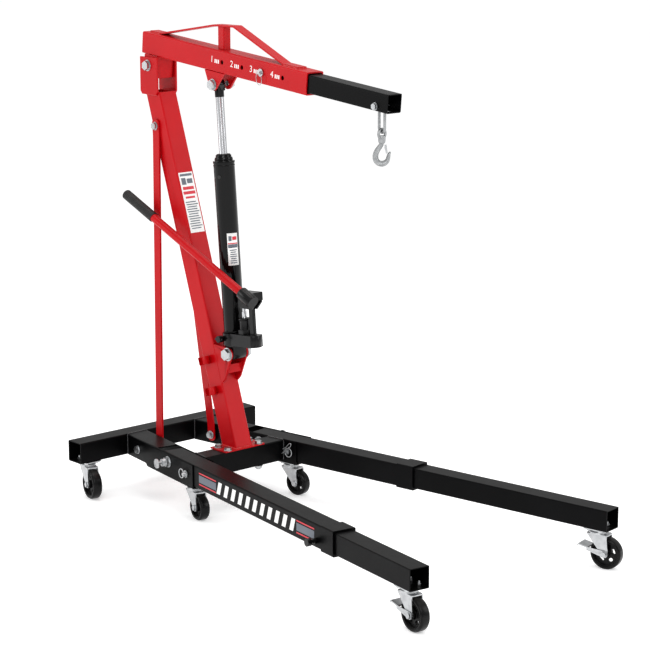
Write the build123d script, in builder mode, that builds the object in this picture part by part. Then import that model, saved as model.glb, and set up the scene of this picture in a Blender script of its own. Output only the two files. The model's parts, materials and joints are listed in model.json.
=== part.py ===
"""Folding hydraulic shop crane: two telescoping legs on a rear crossmember, a raked mast with flat
braces, a telescoping boom with a pinned extension and a swivel hook, and a hand-pumped lifting ram.

Frame: millimetres, +X forward along the legs, +Y to the left, +Z up, floor at Z = 0, X = 0 at the
middle of the overall length.  Stations along X are measured from the rear crossmember's centre.
"""

import os
from math import atan2, cos, degrees, hypot, radians, sin, sqrt, tan

from build123d import *

# ---- Chassis ----------------------------------------------------------------------------------
REAR_X = -732.135           # crossmember centre line, so that X = 0 is the middle of the length
RAIL = 63.5                 # square tube used for crossmember, cross tube and mast
RAIL_WALL = 3.0
RAIL_LOW = 112.0            # underside of the crossmember
CROSSMEMBER_LENGTH = 675.0
BRACKET_Y = 165.0           # outer face of a leg bracket where it meets the crossmember
SPLAY = 9.0                 # each leg opens outwards by this angle
BRACKET_WIDTH = 72.0
BRACKET_WALL = 3.0
BRACKET_LENGTH = 400.0
BRACKET_LOW = 102.0
BRACKET_STEP = 115.0        # station where the bracket's lower edge steps down
ROOF_END = 185.0            # the bracket's top plate ends here, so a leg can fold up
FLOOR_START = 300.0
CROSS_X = 358.0             # mast cross tube centre line
CROSS_LOW = 110.0

# ---- Legs (s along the leg, v across it from the bracket's outer face) --------------------------
LEG = BRACKET_WIDTH - 7.0    # square tube; the bracket leaves 3.5 mm each side
LEG_WALL = 2.5
EXTENSION_GAP = 0.4
LEG_Z = RAIL_LOW + LEG / 2 - LEG_WALL - EXTENSION_GAP    # extension level with the rail
LEG_V = BRACKET_WIDTH / 2
LEG_START = 222.0
LEG_MOUTH = {"right": 1141.0, "left": 834.0}
COLLAR_WALL = 3.0
COLLAR_LENGTH = 58.0
EXTENSION_REAR = {"right": 891.0, "left": 684.0}
LEG_END = 1480.0
HINGE_S, HINGE_Z, HINGE_R = 255.0, 150.0, 8.0
LOCK_S, LOCK_Z, LOCK_R = 364.0, 140.0, 7.0
PLUNGER_Z = 128.0
CASTER_S = {"bracket": 350.0, "front": 1435.0}

# ---- Mast -------------------------------------------------------------------------------------
PLATE_THICK = 3.5
MAST_FOOT_X = 352.0
MAST_LEAN = 18.6
MAST_TOP = 1199.0
CHEEK = 6.0                 # thickness of the head plates, lugs and ram bracket plates
PIVOT = (-5.0, 1275.0)      # boom pivot, X and Z
PIVOT_R = 8.0
BRACE_TOP = (28.0, 1098.0)
BRACE_S, BRACE_Z = 66.0, 142.0
BRACE_WIDTH, BRACE_THICK = 30.0, 6.0
BOLT_R = 6.0
RUNNING = 0.06              # radial clearance of a turning fit
CLEAR = 0.15                # radial clearance of a fixed bolt in its hole

# ---- Boom (u along the boom from its rear end, w across it upwards) -----------------------------
BOOM_REAR = (-38.0, 1341.5)
BOOM_TILT = 5.2
BOOM_HIGH, BOOM_WIDE, BOOM_WALL = 64.0, 60.0, 4.0
BOOM_LENGTH = 742.0
HOLES_U = (375.0, 464.0, 550.0, 641.0)
PIN_U, PIN_R = HOLES_U[2], 6.5
REACH_IN, REACH_OUT = 175.0, 91.0
ARM = BOOM_WIDE - 2 * BOOM_WALL - 1.0    # boom extension tube
ARM_WALL = 3.0
ARM_REAR, ARM_END = 330.0, 1060.0
HOOK_U, HOOK_W, HOOK_R = 1014.0, -13.0, 5.0
STRAP_WIDE, STRAP_THICK = 32.0, 5.0
POST = 26.0
POST_X = 311.0

# ---- Ram (origin at its foot pin, local Z along the rod) ----------------------------------------
RAM_FOOT = (351.0, 457.0)
RAM_HEAD = (293.0, 1241.0)  # bolt line in the boom's ram lugs
RAM_OFFSET = 9.0            # the rod end stands this far behind the bolt line at rest
FOOT_R = 9.5
CYLINDER_R, ROD_R = 31.0, 12.0
BASE_LOW, BASE_TOP = 27.0, 62.0
SHOULDER, GLAND, ROD_TOP = 565.0, 582.0, 749.0
PUMP_X, PUMP_Y = 60.0, -8.0
FULCRUM_X, LEVER_U = 96.0, 150.0
HANDLE_AT = (446.0, -50.0, 654.0)
HANDLE_DIR = (-0.9029, -0.0681, 0.4242)
HANDLE_R, HANDLE_LENGTH, GRIP_LENGTH = 12.5, 585.0, 135.0

# ---- Casters ----------------------------------------------------------------------------------
TRAIL = 28.0
AXLE_R = 5.0
KINGPIN_R = 5.0
WHEEL_WIDE = 28.0
BIG, SMALL = 44.5, 38.0     # wheel radii
RACE_GAP = 0.4
BOLT_PITCH = 36.0           # caster plate bolts, a square

c, s = cos(radians(SPLAY)), sin(radians(SPLAY))


def at(x, y, z):
    """A point given from the rear crossmember's centre line."""
    return Vector(REAR_X + x, y, z)


def leg_point(along, across, z):
    """A point in the right-hand leg's own directions."""
    front = RAIL / 2
    return at(front + along * c + across * s, -BRACKET_Y - along * s + across * c, z)


def leg_side(across):
    """Sketch plane (s, z) of the right-hand leg whose normal points outwards."""
    return Plane(origin=leg_point(0, across, 0), x_dir=(c, -s, 0), z_dir=(-s, -c, 0))


def leg_section(along, z=LEG_Z, across=LEG_V):
    """Plane square to the right-hand leg, facing forwards."""
    return Plane(origin=leg_point(along, across, z), x_dir=(s, c, 0), z_dir=(c, -s, 0))


def side(y):
    """Sketch plane (x, z) at a given Y, facing the right-hand side."""
    return Plane(origin=at(0, y, 0), x_dir=(1, 0, 0), z_dir=(0, -1, 0))


def boom_side(y):
    """Sketch plane (u, w) of the boom, facing the right-hand side."""
    t = radians(BOOM_TILT)
    return Plane(origin=at(BOOM_REAR[0], y, BOOM_REAR[1]), x_dir=(cos(t), 0, -sin(t)),
                 z_dir=(0, -1, 0))


def boom_section(u):
    """Plane square to the boom, facing forwards, with its local axes along Y and w."""
    p = boom_side(0)
    return Plane(origin=p.origin + p.x_dir * u, x_dir=(0, 1, 0), z_dir=p.x_dir)


def mirrored(part, which):
    """The right-hand part, or its mirror image for the left side."""
    return part if which == "right" else mirror(part, about=Plane.XZ)


def rail_tube(plane, length, wide, high, wall, radius=4.0):
    """A square tube standing on a plane, with rounded corners."""
    with BuildPart() as tube:
        with BuildSketch(plane):
            RectangleRounded(wide, high, radius)
            RectangleRounded(wide - 2 * wall, high - 2 * wall, max(radius - wall, 0.8),
                             mode=Mode.SUBTRACT)
        extrude(amount=length)
    return tube.part


def rod(start, end, radius):
    """A round bar between two points."""
    start, end = Vector(start), Vector(end)
    with BuildPart() as bar:
        with BuildSketch(Plane(origin=start, z_dir=end - start)):
            Circle(radius)
        extrude(amount=(end - start).length)
    return bar.part


def hex_bolt(start, end, radius, nut=True):
    """A hex bolt with its washers; the grip runs from start (head side) to end (nut side)."""
    start, end = Vector(start), Vector(end)
    grip, washer, head = (end - start).length, 1.6, 1.2 * radius
    along = Plane(origin=start, z_dir=end - start)
    with BuildPart() as bolt:
        with BuildSketch(along.offset(-washer - 0.1)):
            Circle(radius)
        extrude(amount=grip + 2 * washer + 0.2 + (head + 3 if nut else 0))
        with BuildSketch(along.offset(-washer - 0.1)):
            Circle(2.1 * radius)
        extrude(amount=washer)
        with BuildSketch(along.offset(-washer - 0.1 - head)):
            RegularPolygon(1.8 * radius, 6)
        extrude(amount=head)
        if nut:
            with BuildSketch(along.offset(grip + 0.1)):
                Circle(2.1 * radius)
            extrude(amount=washer)
            with BuildSketch(along.offset(grip + 0.1 + washer)):
                RegularPolygon(1.8 * radius, 6)
            extrude(amount=head)
    return bolt.part


def side_plate(points, low_y, high_y, plane=side):
    """A flat plate cut to a polygon in an upright plane, between two Y values."""
    with BuildPart() as plate:
        with BuildSketch(plane(high_y)):
            with BuildLine():
                Polyline(*points, close=True)
            make_face()
        extrude(amount=high_y - low_y)
    return plate.part


def save(builder, node):
    """Name a finished piece and write its STEP file."""
    builder.part.label = node
    export_step(builder.part, f"parts/{node}.step")


os.makedirs("parts", exist_ok=True)

# ---- Casters: plate and kingpin, fork and axle, wheel, brake pedal ------------------------------


def caster_sizes(radius):
    """Underside of the plate, crown top and fork ring top for a wheel radius."""
    plate_low = {BIG: RAIL_LOW, SMALL: BRACKET_LOW}[radius] - 3.0
    crown = 2 * radius + 8.0
    return plate_low, crown, plate_low - 6.6


def caster_plate(radius, nut):
    """Top plate with its race, kingpin and four bolts, about the kingpin's own axis."""
    low, crown, ring = caster_sizes(radius)
    with BuildPart() as plate:
        with BuildSketch(Plane.XY.offset(low)):
            RectangleRounded(62, 56, 6)
        extrude(amount=3.0)
        with BuildSketch(Plane.XY.offset(ring + RACE_GAP)):
            Circle(19)
        extrude(amount=low - ring - RACE_GAP)
        with BuildSketch(Plane.XY.offset(crown - 6.5)):
            Circle(KINGPIN_R)
        extrude(amount=low - crown + 6.5)
        with BuildSketch(Plane.XY.offset(crown - 6.5)):
            Circle(7.5)
        extrude(amount=3.0)
        with BuildSketch(Plane.XY.offset(low - 4.5)):
            with GridLocations(BOLT_PITCH, BOLT_PITCH, 2, 2):
                RegularPolygon(6.6, 6)
        extrude(amount=4.5)
        with BuildSketch(Plane.XY.offset(low)):
            with GridLocations(BOLT_PITCH, BOLT_PITCH, 2, 2):
                Circle(4)
        extrude(amount=18.0 if nut else 6.3)
        if nut:
            with BuildSketch(Plane.XY.offset(low + 3.0 + RAIL_WALL + 0.3)):
                with GridLocations(BOLT_PITCH, BOLT_PITCH, 2, 2):
                    RegularPolygon(7.2, 6)
            extrude(amount=6.0)
    return plate.part


def caster_fork(radius, axle_half):
    """Crown, ball race ring, two tapered side plates and the axle bolt."""
    low, crown, ring = caster_sizes(radius)
    half = WHEEL_WIDE / 2 + 1.0
    with BuildPart() as fork:
        with BuildSketch(Plane.XY.offset(crown - 3.0)):
            with Locations((5, 0)):
                RectangleRounded(64, 2 * half + 6, 8)
            with Locations((0, 0)):
                Circle(KINGPIN_R + RUNNING, mode=Mode.SUBTRACT)
        extrude(amount=3.0)
        with BuildSketch(Plane.XY.offset(crown)):
            Circle(23)
            Circle(KINGPIN_R + RUNNING, mode=Mode.SUBTRACT)
        extrude(amount=ring - crown)
        for y in (-half, half + 3.0):
            with BuildSketch(Plane(origin=(0, y, 0), x_dir=(1, 0, 0), z_dir=(0, -1, 0))):
                with BuildLine():
                    Polyline((-24, crown - 1.5), (34, crown - 1.5), (TRAIL + 10.5, radius),
                             (TRAIL - 10.5, radius), close=True)
                make_face()
                with Locations((TRAIL, radius)):
                    Circle(10.5)
            extrude(amount=3.0)
        axle = Plane(origin=(TRAIL, -axle_half, radius), x_dir=(1, 0, 0), z_dir=(0, 1, 0))
        with BuildSketch(axle):
            Circle(AXLE_R)
        extrude(amount=2 * axle_half)
        for face, amount in ((axle, -4.5), (axle.offset(2 * axle_half), 4.5)):
            with BuildSketch(face):
                RegularPolygon(8.4, 6)
            extrude(amount=amount)
    return fork.part


def caster_wheel(radius):
    """Wheel with a hub, a web pierced by five oval holes and a rounded tyre."""
    hub, web = WHEEL_WIDE / 2 + 0.5, 5.0
    with BuildPart() as wheel:
        with BuildSketch(Plane(origin=(TRAIL, 0, radius), x_dir=(1, 0, 0), z_dir=(0, -1, 0))):
            Circle(radius - 7)
            Circle(AXLE_R + RUNNING, mode=Mode.SUBTRACT)
            with PolarLocations(0.5 * radius, 5, start_angle=18):
                SlotOverall(0.34 * radius, 0.21 * radius, rotation=90, mode=Mode.SUBTRACT)
        extrude(amount=web, both=True)
        with BuildSketch(Plane(origin=(TRAIL, 0, radius), x_dir=(1, 0, 0), z_dir=(0, -1, 0))):
            Circle(radius)
            Circle(radius - 9, mode=Mode.SUBTRACT)
        extrude(amount=WHEEL_WIDE / 2, both=True)
        chamfer(wheel.edges().filter_by(GeomType.CIRCLE).filter_by(
            lambda e: abs(e.radius - radius) < 0.01), 4.0)
        with BuildSketch(Plane(origin=(TRAIL, 0, radius), x_dir=(1, 0, 0), z_dir=(0, -1, 0))):
            Circle(12)
            Circle(AXLE_R + RUNNING, mode=Mode.SUBTRACT)
        extrude(amount=hub, both=True)
    return wheel.part


def brake_pedal(radius):
    """Stirrup that turns on the axle ends, with a foot pedal ahead of the wheel's rim."""
    arm_y, edge = WHEEL_WIDE / 2 + 4.4, radius + 3.0
    with BuildPart() as pedal:
        for y in (-arm_y, arm_y + 2.4):
            with BuildSketch(Plane(origin=(0, y, 0), x_dir=(1, 0, 0), z_dir=(0, -1, 0))):
                with BuildLine():
                    Polyline((TRAIL, radius + 10), (TRAIL - edge - 4, radius + 13),
                             (TRAIL - edge - 4, radius + 4), (TRAIL, radius - 10), close=True)
                make_face()
                with Locations((TRAIL, radius)):
                    Circle(10)
                    Circle(AXLE_R + RUNNING, mode=Mode.SUBTRACT)
            extrude(amount=2.4)
        with BuildSketch(Plane(origin=(0, arm_y + 2.4, 0), x_dir=(1, 0, 0), z_dir=(0, -1, 0))):
            with BuildLine():
                Polyline((TRAIL - edge, radius + 13.2), (TRAIL - edge, radius + 9.2),
                         (TRAIL - edge - 27, radius + 15.2), (TRAIL - edge - 32, radius + 11.2),
                         (TRAIL - edge - 34, radius + 14.2), (TRAIL - edge - 28, radius + 19.2),
                         close=True)
            make_face()
        extrude(amount=2 * arm_y + 4.8)
    return pedal.part


SPOTS = {  # name: (kingpin X, Y, wheel radius, plate angle, trail angle at rest)
    "rear_right": (3.0, -292.0, BIG, 0.0, -12.0),
    "rear_left": (3.0, 292.0, BIG, 0.0, -4.0),
    "middle_right": (leg_point(CASTER_S["bracket"], LEG_V, 0).X - REAR_X,
                     leg_point(CASTER_S["bracket"], LEG_V, 0).Y, SMALL, -SPLAY, -10.0),
    "middle_left": (leg_point(CASTER_S["bracket"], LEG_V, 0).X - REAR_X,
                    -leg_point(CASTER_S["bracket"], LEG_V, 0).Y, SMALL, SPLAY, 8.0),
    "front_right": (leg_point(CASTER_S["front"], LEG_V, 0).X - REAR_X,
                    leg_point(CASTER_S["front"], LEG_V, 0).Y, BIG, -SPLAY, -7.0),
    "front_left": (leg_point(CASTER_S["front"], LEG_V, 0).X - REAR_X,
                   -leg_point(CASTER_S["front"], LEG_V, 0).Y, BIG, SPLAY, 16.0),
}

fixed_plates = []
for spot, (x, y, wheel_r, turned_plate, turned_fork) in SPOTS.items():
    spot_at = at(x, y, 0)
    plate_part = Location(spot_at, (0, 0, turned_plate)) * caster_plate(wheel_r, wheel_r == BIG)
    swing = Location(spot_at, (0, 0, turned_fork))
    front = spot.startswith("front")
    if front:
        with BuildPart() as front_plate:
            add(plate_part)
        save(front_plate, f"caster_plate_{spot}")
        with BuildPart() as pedal:
            add(swing * brake_pedal(wheel_r))
        save(pedal, f"brake_pedal_{spot}")
    else:
        fixed_plates.append(plate_part)
    with BuildPart() as fork:
        add(swing * caster_fork(wheel_r, WHEEL_WIDE / 2 + (7.2 if front else 4.0)))
    save(fork, f"caster_fork_{spot}")
    with BuildPart() as wheel:
        add(swing * caster_wheel(wheel_r))
    save(wheel, f"caster_wheel_{spot}")

with BuildPart() as caster_plates:
    for plate_part in fixed_plates:
        add(plate_part)
save(caster_plates, "caster_plates")


def caster_holes(name, low):
    """Upright drills for a caster's four bolts, to be taken out of the tube above it."""
    x, y, _, turned_plate, _ = SPOTS[name]
    with BuildPart() as drills:
        with BuildSketch(Plane(Location(at(x, y, low), (0, 0, turned_plate)))):
            with GridLocations(BOLT_PITCH, BOLT_PITCH, 2, 2):
                Circle(4.3)
        extrude(amount=8.0)
    return drills.part


# ---- Chassis ----------------------------------------------------------------------------------
rear_tube = rail_tube(Plane(origin=at(0, -CROSSMEMBER_LENGTH / 2, RAIL_LOW + RAIL / 2),
                            x_dir=(1, 0, 0), z_dir=(0, 1, 0)),
                      CROSSMEMBER_LENGTH, RAIL, RAIL, RAIL_WALL)
with BuildPart() as rear_crossmember:
    add(rear_tube)
    for name in ("rear_right", "rear_left"):
        add(caster_holes(name, RAIL_LOW - 1), mode=Mode.SUBTRACT)
save(rear_crossmember, "rear_crossmember")

BRACKET_TOP = RAIL_LOW + RAIL
bracket_tube = rail_tube(leg_section(-14, (BRACKET_TOP + BRACKET_LOW) / 2), BRACKET_LENGTH + 14,
                         BRACKET_WIDTH, BRACKET_TOP - BRACKET_LOW, BRACKET_WALL)


def bracket(which):
    """Folded channel that carries a leg: open below the hinge and open on top ahead of it."""
    inner = BRACKET_WIDTH - 2 * BRACKET_WALL
    with BuildPart() as channel:
        add(bracket_tube)
        with BuildSketch(leg_side(BRACKET_WIDTH + 1)):
            with BuildLine():
                Polyline((-40, RAIL_LOW), (BRACKET_STEP, RAIL_LOW),
                         (BRACKET_STEP + 12, BRACKET_LOW), (BRACKET_STEP + 12, BRACKET_LOW - 20),
                         (-40, BRACKET_LOW - 20), close=True)
            make_face()
        extrude(amount=BRACKET_WIDTH + 2, mode=Mode.SUBTRACT)
        with BuildSketch(leg_side(BRACKET_WIDTH - BRACKET_WALL)):
            with Locations(((FLOOR_START - 40) / 2, BRACKET_LOW)):
                Rectangle(FLOOR_START + 40, 12)
            with Locations(((ROOF_END + BRACKET_LENGTH + 20) / 2, BRACKET_TOP)):
                Rectangle(BRACKET_LENGTH + 20 - ROOF_END, 12)
        extrude(amount=inner, mode=Mode.SUBTRACT)
        with BuildSketch(leg_side(BRACKET_WIDTH + 1)):
            with Locations((BRACE_S, BRACE_Z)):
                Circle(BOLT_R + CLEAR)
            with Locations((HINGE_S, HINGE_Z)):
                Circle(HINGE_R + CLEAR)
            with Locations((LOCK_S, LOCK_Z)):
                Circle(LOCK_R + RUNNING)
        extrude(amount=BRACKET_WIDTH + 2, mode=Mode.SUBTRACT)
        add(caster_holes("middle_right", BRACKET_LOW - 1), mode=Mode.SUBTRACT)
        split(bisect_by=Plane(origin=at(RAIL / 2, 0, 0), z_dir=(1, 0, 0)), keep=Keep.TOP)
    return mirrored(channel.part, which)


for which in ("right", "left"):
    with BuildPart() as leg_bracket:
        add(bracket(which))
    save(leg_bracket, f"leg_bracket_{which}")

cross_tube = rail_tube(Plane(origin=at(CROSS_X, -200, CROSS_LOW + RAIL / 2),
                             x_dir=(1, 0, 0), z_dir=(0, 1, 0)), 400, RAIL, RAIL, RAIL_WALL)
CROSS_TOP = CROSS_LOW + RAIL
BASE_BOLTS = [(CROSS_X + dx, dy) for dx in (-22, 22) for dy in (-58, 58)]
inner_face = leg_side(BRACKET_WIDTH)
with BuildPart() as mast_cross_tube:
    add(cross_tube)
    split(bisect_by=inner_face, keep=Keep.BOTTOM)
    split(bisect_by=Plane(origin=(inner_face.origin.X, -inner_face.origin.Y, 0),
                          x_dir=(c, s, 0), z_dir=(-s, c, 0)), keep=Keep.BOTTOM)
    with BuildSketch(Plane.XY.offset(CROSS_LOW - 1)):
        with Locations(*[(REAR_X + x, y) for x, y in BASE_BOLTS]):
            Circle(BOLT_R + CLEAR)
    extrude(amount=RAIL + 2, mode=Mode.SUBTRACT)
save(mast_cross_tube, "mast_cross_tube")

MAST_FOOT = CROSS_TOP + PLATE_THICK
with BuildPart() as mast_base_plate:
    with BuildSketch(Plane.XY.offset(CROSS_TOP)):
        with Locations((REAR_X + CROSS_X - 4, 0)):
            RectangleRounded(74, 150, 3)
        with Locations(*[(REAR_X + x, y) for x, y in BASE_BOLTS]):
            Circle(BOLT_R + CLEAR, mode=Mode.SUBTRACT)
    extrude(amount=PLATE_THICK)
save(mast_base_plate, "mast_base_plate")

with BuildPart() as mast_base_bolts:
    for x, y in BASE_BOLTS:
        add(hex_bolt(at(x, y, MAST_FOOT), at(x, y, CROSS_LOW), BOLT_R))
save(mast_base_bolts, "mast_base_bolts")

lean = radians(MAST_LEAN)
mast_tube = rail_tube(Plane(origin=at(MAST_FOOT_X + 60 * sin(lean), 0, MAST_FOOT - 60 * cos(lean)),
                            x_dir=(0, 1, 0), z_dir=(-sin(lean), 0, cos(lean))),
                      (MAST_TOP - MAST_FOOT) / cos(lean) + 120, RAIL, RAIL, RAIL_WALL)
with BuildPart() as mast:
    add(mast_tube)
    split(bisect_by=Plane.XY.offset(MAST_FOOT), keep=Keep.TOP)
    split(bisect_by=Plane.XY.offset(MAST_TOP), keep=Keep.BOTTOM)
    with BuildSketch(side(RAIL)):
        with Locations(BRACE_TOP):
            Circle(BOLT_R + CLEAR)
    extrude(amount=2 * RAIL, mode=Mode.SUBTRACT)
save(mast, "mast")


def mast_x(z):
    """The mast's centre line at a height, as an X station."""
    return MAST_FOOT_X - (z - MAST_FOOT) * tan(lean)


# ---- Mast head, braces and bolts ----------------------------------------------------------------
HEAD = [(-42, 1300), (40, 1300), (40, 1199), (33, 1189), (-34, 1189), (-42, 1199)]
with BuildPart() as mast_head_plates:
    for low in (-RAIL / 2 - CHEEK, RAIL / 2):
        add(side_plate(HEAD, low, low + CHEEK))
    with BuildSketch(side(RAIL)):
        with Locations(PIVOT):
            Circle(PIVOT_R + CLEAR)
    extrude(amount=2 * RAIL, mode=Mode.SUBTRACT)
save(mast_head_plates, "mast_head_plates")

brace_foot = leg_point(BRACE_S, BRACKET_WIDTH, BRACE_Z)
foot_x = brace_foot.X - REAR_X
run = hypot(foot_x - BRACE_TOP[0], BRACE_TOP[1] - BRACE_Z)
ex, ez = (foot_x - BRACE_TOP[0]) / run, (BRACE_Z - BRACE_TOP[1]) / run
near = RAIL / 2 + 0.3
far = -brace_foot.Y - BRACE_WIDTH / 2 * tan(radians(SPLAY)) - 0.4 - BRACE_THICK
with BuildPart() as brace_bar:
    with BuildSketch(Plane(origin=at(BRACE_TOP[0], 0, BRACE_TOP[1]), x_dir=(ex, 0, ez),
                           z_dir=(ez, 0, -ex))):
        with BuildLine():
            Polyline((-20, near), (28, near), (run - 34, far), (run + 20, far),
                     (run + 20, far + BRACE_THICK), (run - 36, far + BRACE_THICK),
                     (26, near + BRACE_THICK), (-20, near + BRACE_THICK), close=True)
        make_face()
    extrude(amount=BRACE_WIDTH / 2, both=True)
    fillet(brace_bar.edges().filter_by(Axis.Y), BRACE_WIDTH / 2 - 3)
    with BuildSketch(side(0)):
        with Locations(BRACE_TOP):
            Circle(BOLT_R + CLEAR)
    extrude(amount=RAIL, mode=Mode.SUBTRACT)
    with BuildSketch(leg_side(BRACKET_WIDTH + 40)):
        with Locations((BRACE_S, BRACE_Z)):
            Circle(BOLT_R + CLEAR)
    extrude(amount=60, mode=Mode.SUBTRACT)
with BuildPart() as mast_braces:
    add(brace_bar.part)
    add(mirror(brace_bar.part, about=Plane.XZ))
save(mast_braces, "mast_braces")

hinge_head = [
    rod(leg_point(HINGE_S, -1, HINGE_Z), leg_point(HINGE_S, -22, HINGE_Z), 11),
    rod(leg_point(HINGE_S, -22, HINGE_Z), leg_point(HINGE_S, -36, HINGE_Z), 6),
    rod(leg_point(HINGE_S, -36, HINGE_Z), leg_point(HINGE_S, -40, HINGE_Z), 14),
]
foot_grip = BRACKET_WIDTH + (-brace_foot.Y - far) / c + 2.6
with BuildPart() as hinge_bolt:
    add(hex_bolt(leg_point(HINGE_S, 0, HINGE_Z), leg_point(HINGE_S, BRACKET_WIDTH, HINGE_Z),
                 HINGE_R))
    for piece in hinge_head:
        add(piece)
foot_bolt = hex_bolt(leg_point(BRACE_S, 0, BRACE_Z), leg_point(BRACE_S, foot_grip, BRACE_Z), BOLT_R)
with BuildPart() as frame_bolts:
    add(hinge_bolt.part)
    add(mirror(hinge_bolt.part, about=Plane.XZ))
    add(foot_bolt)
    add(mirror(foot_bolt, about=Plane.XZ))
    for (x, z), half, radius in ((PIVOT, RAIL / 2 + CHEEK, PIVOT_R),
                                 (BRACE_TOP, near + BRACE_THICK, BOLT_R),
                                 (RAM_FOOT, RAIL / 2, FOOT_R)):
        add(hex_bolt(at(x, -half, z), at(x, half, z), radius))
save(frame_bolts, "frame_bolts")

front_face = RAIL / 2 / cos(lean)
gusset_top, gusset_low = RAM_FOOT[1] + 19, RAM_FOOT[1] - 92
with BuildPart() as ram_bracket:
    for low in (-RAIL / 2, RAIL / 2 - CHEEK):
        with BuildSketch(side(low + CHEEK)):
            with BuildLine():
                Polyline((mast_x(gusset_top) + front_face, gusset_top),
                         (RAM_FOOT[0], gusset_top), (RAM_FOOT[0] + 19, RAM_FOOT[1]),
                         (mast_x(gusset_low) + front_face + 14, gusset_low + 14),
                         (mast_x(gusset_low) + front_face, gusset_low), close=True)
            make_face()
            with Locations(RAM_FOOT):
                Circle(19)
                Circle(FOOT_R + CLEAR, mode=Mode.SUBTRACT)
        extrude(amount=CHEEK)
    with BuildSketch(side(RAIL / 2 - CHEEK)):
        with Locations((RAM_FOOT[0] - 11, RAM_FOOT[1] - 47)):
            Rectangle(5, 26)
    extrude(amount=RAIL - 2 * CHEEK)
save(ram_bracket, "ram_bracket")

clip_axis = Vector(-sin(lean), 0, cos(lean))
with BuildPart() as handle_clips:
    for z in (425.0, 337.0):
        centre = at(mast_x(z) - 8, -RAIL / 2 - 16.5, z)
        with BuildSketch(Plane(origin=centre, x_dir=(0, 1, 0), z_dir=clip_axis)):
            Circle(HANDLE_R + 3.6)
            Circle(HANDLE_R + 0.8, mode=Mode.SUBTRACT)
            with Locations((-16, 0)):
                Rectangle(22, 18, mode=Mode.SUBTRACT)
            with Locations((15.1, 0)):
                Rectangle(2.2, 14)
        extrude(amount=12, both=True)
save(handle_clips, "handle_clips")

# ---- Legs ---------------------------------------------------------------------------------------


def leg_tube(which):
    """Leg with its welded collar; a relief slot lets it lift off the lock pin as it folds."""
    mouth = LEG_MOUTH[which]
    reach, drop = LOCK_S - HINGE_S, LOCK_Z - HINGE_Z
    radius = hypot(reach, drop)
    start = atan2(drop, reach)
    bottom = LEG_Z - LEG / 2 - HINGE_Z - 12
    stop = -radians(degrees(atan2(-bottom, sqrt(radius ** 2 - bottom ** 2))))
    with BuildPart() as tube:
        add(rail_tube(leg_section(LEG_START), mouth - LEG_START, LEG, LEG, LEG_WALL))
        add(rail_tube(leg_section(mouth - COLLAR_LENGTH), COLLAR_LENGTH, LEG + 2 * COLLAR_WALL,
                      LEG + 2 * COLLAR_WALL, COLLAR_WALL + 0.5))
        with BuildSketch(leg_side(BRACKET_WIDTH + 1)):
            with Locations((HINGE_S, HINGE_Z)):
                Circle(HINGE_R + RUNNING)
        extrude(amount=BRACKET_WIDTH + 2, mode=Mode.SUBTRACT)
        with BuildSketch(leg_side(BRACKET_WIDTH + 1)):
            points = []
            for i in range(5):
                angle = start + (stop - start) * i / 4
                points.append((HINGE_S + radius * cos(angle), HINGE_Z + radius * sin(angle)))
            for p in points:
                with Locations(p):
                    Circle(LOCK_R + 0.6)
            for p, q in zip(points, points[1:]):
                turn = degrees(atan2(q[1] - p[1], q[0] - p[0]))
                with Locations(((p[0] + q[0]) / 2, (p[1] + q[1]) / 2)):
                    Rectangle(hypot(q[0] - p[0], q[1] - p[1]), 2 * LOCK_R + 1.2, rotation=turn)
        extrude(amount=BRACKET_WIDTH + 2, mode=Mode.SUBTRACT)
        plunger_s = mouth - COLLAR_LENGTH - 28
        with BuildSketch(leg_side(LEG_V)):
            with Locations((plunger_s, PLUNGER_Z)):
                Circle(4.1)
        extrude(amount=BRACKET_WIDTH, mode=Mode.SUBTRACT)
    return mirrored(tube.part, which)


def leg_extension(which):
    """Inner tube that slides in a leg, open at its front end."""
    size = LEG - 2 * LEG_WALL - 2 * EXTENSION_GAP
    with BuildPart() as inner:
        add(rail_tube(leg_section(EXTENSION_REAR[which]), LEG_END - EXTENSION_REAR[which],
                      size, size, LEG_WALL, 3.0))
        add(caster_holes("front_right", RAIL_LOW - 1), mode=Mode.SUBTRACT)
    return mirrored(inner.part, which)


def plunger(which):
    """Spring plunger on the leg's outer face; its tip stops inside the leg wall."""
    along = LEG_MOUTH[which] - COLLAR_LENGTH - 28
    face = LEG_V - LEG / 2
    with BuildPart() as pull:
        for a, b, radius in ((face + LEG_WALL - 0.6, face - 0.3, 4.0), (face - 0.3, face - 10, 8.0),
                             (face - 10, face - 18, 5.0), (face - 18, face - 30, 10.5)):
            add(rod(leg_point(along, a, PLUNGER_Z), leg_point(along, b, PLUNGER_Z), radius))
    return mirrored(pull.part, which)


def lock_pin(which):
    """Cross pin with a pull ring; the left pin is drawn from the inner side."""
    outside, inside = -4.0, BRACKET_WIDTH + 8.0
    end = outside if which == "right" else inside
    outward = -1 if which == "right" else 1
    face = 0.0 if which == "right" else BRACKET_WIDTH
    with BuildPart() as pin:
        add(rod(leg_point(LOCK_S, outside, LOCK_Z), leg_point(LOCK_S, inside, LOCK_Z), LOCK_R))
        add(rod(leg_point(LOCK_S, face + 0.3 * outward, LOCK_Z),
                leg_point(LOCK_S, face + 4.3 * outward, LOCK_Z), 11))
        add(rod(leg_point(LOCK_S, end, LOCK_Z),
                leg_point(LOCK_S, face + 13 * outward, LOCK_Z), 5))
        ring = leg_point(LOCK_S + 13 * outward, face + 9.5 * outward, LOCK_Z)
        with BuildSketch(Plane(origin=ring + Vector(13 * c, -13 * s, 0), x_dir=(c, -s, 0),
                               z_dir=(0, 0, 1))):
            Circle(1.7)
        revolve(axis=Axis(ring, (s, c, 0)), revolution_arc=360)
    return mirrored(pin.part, which)


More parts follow.
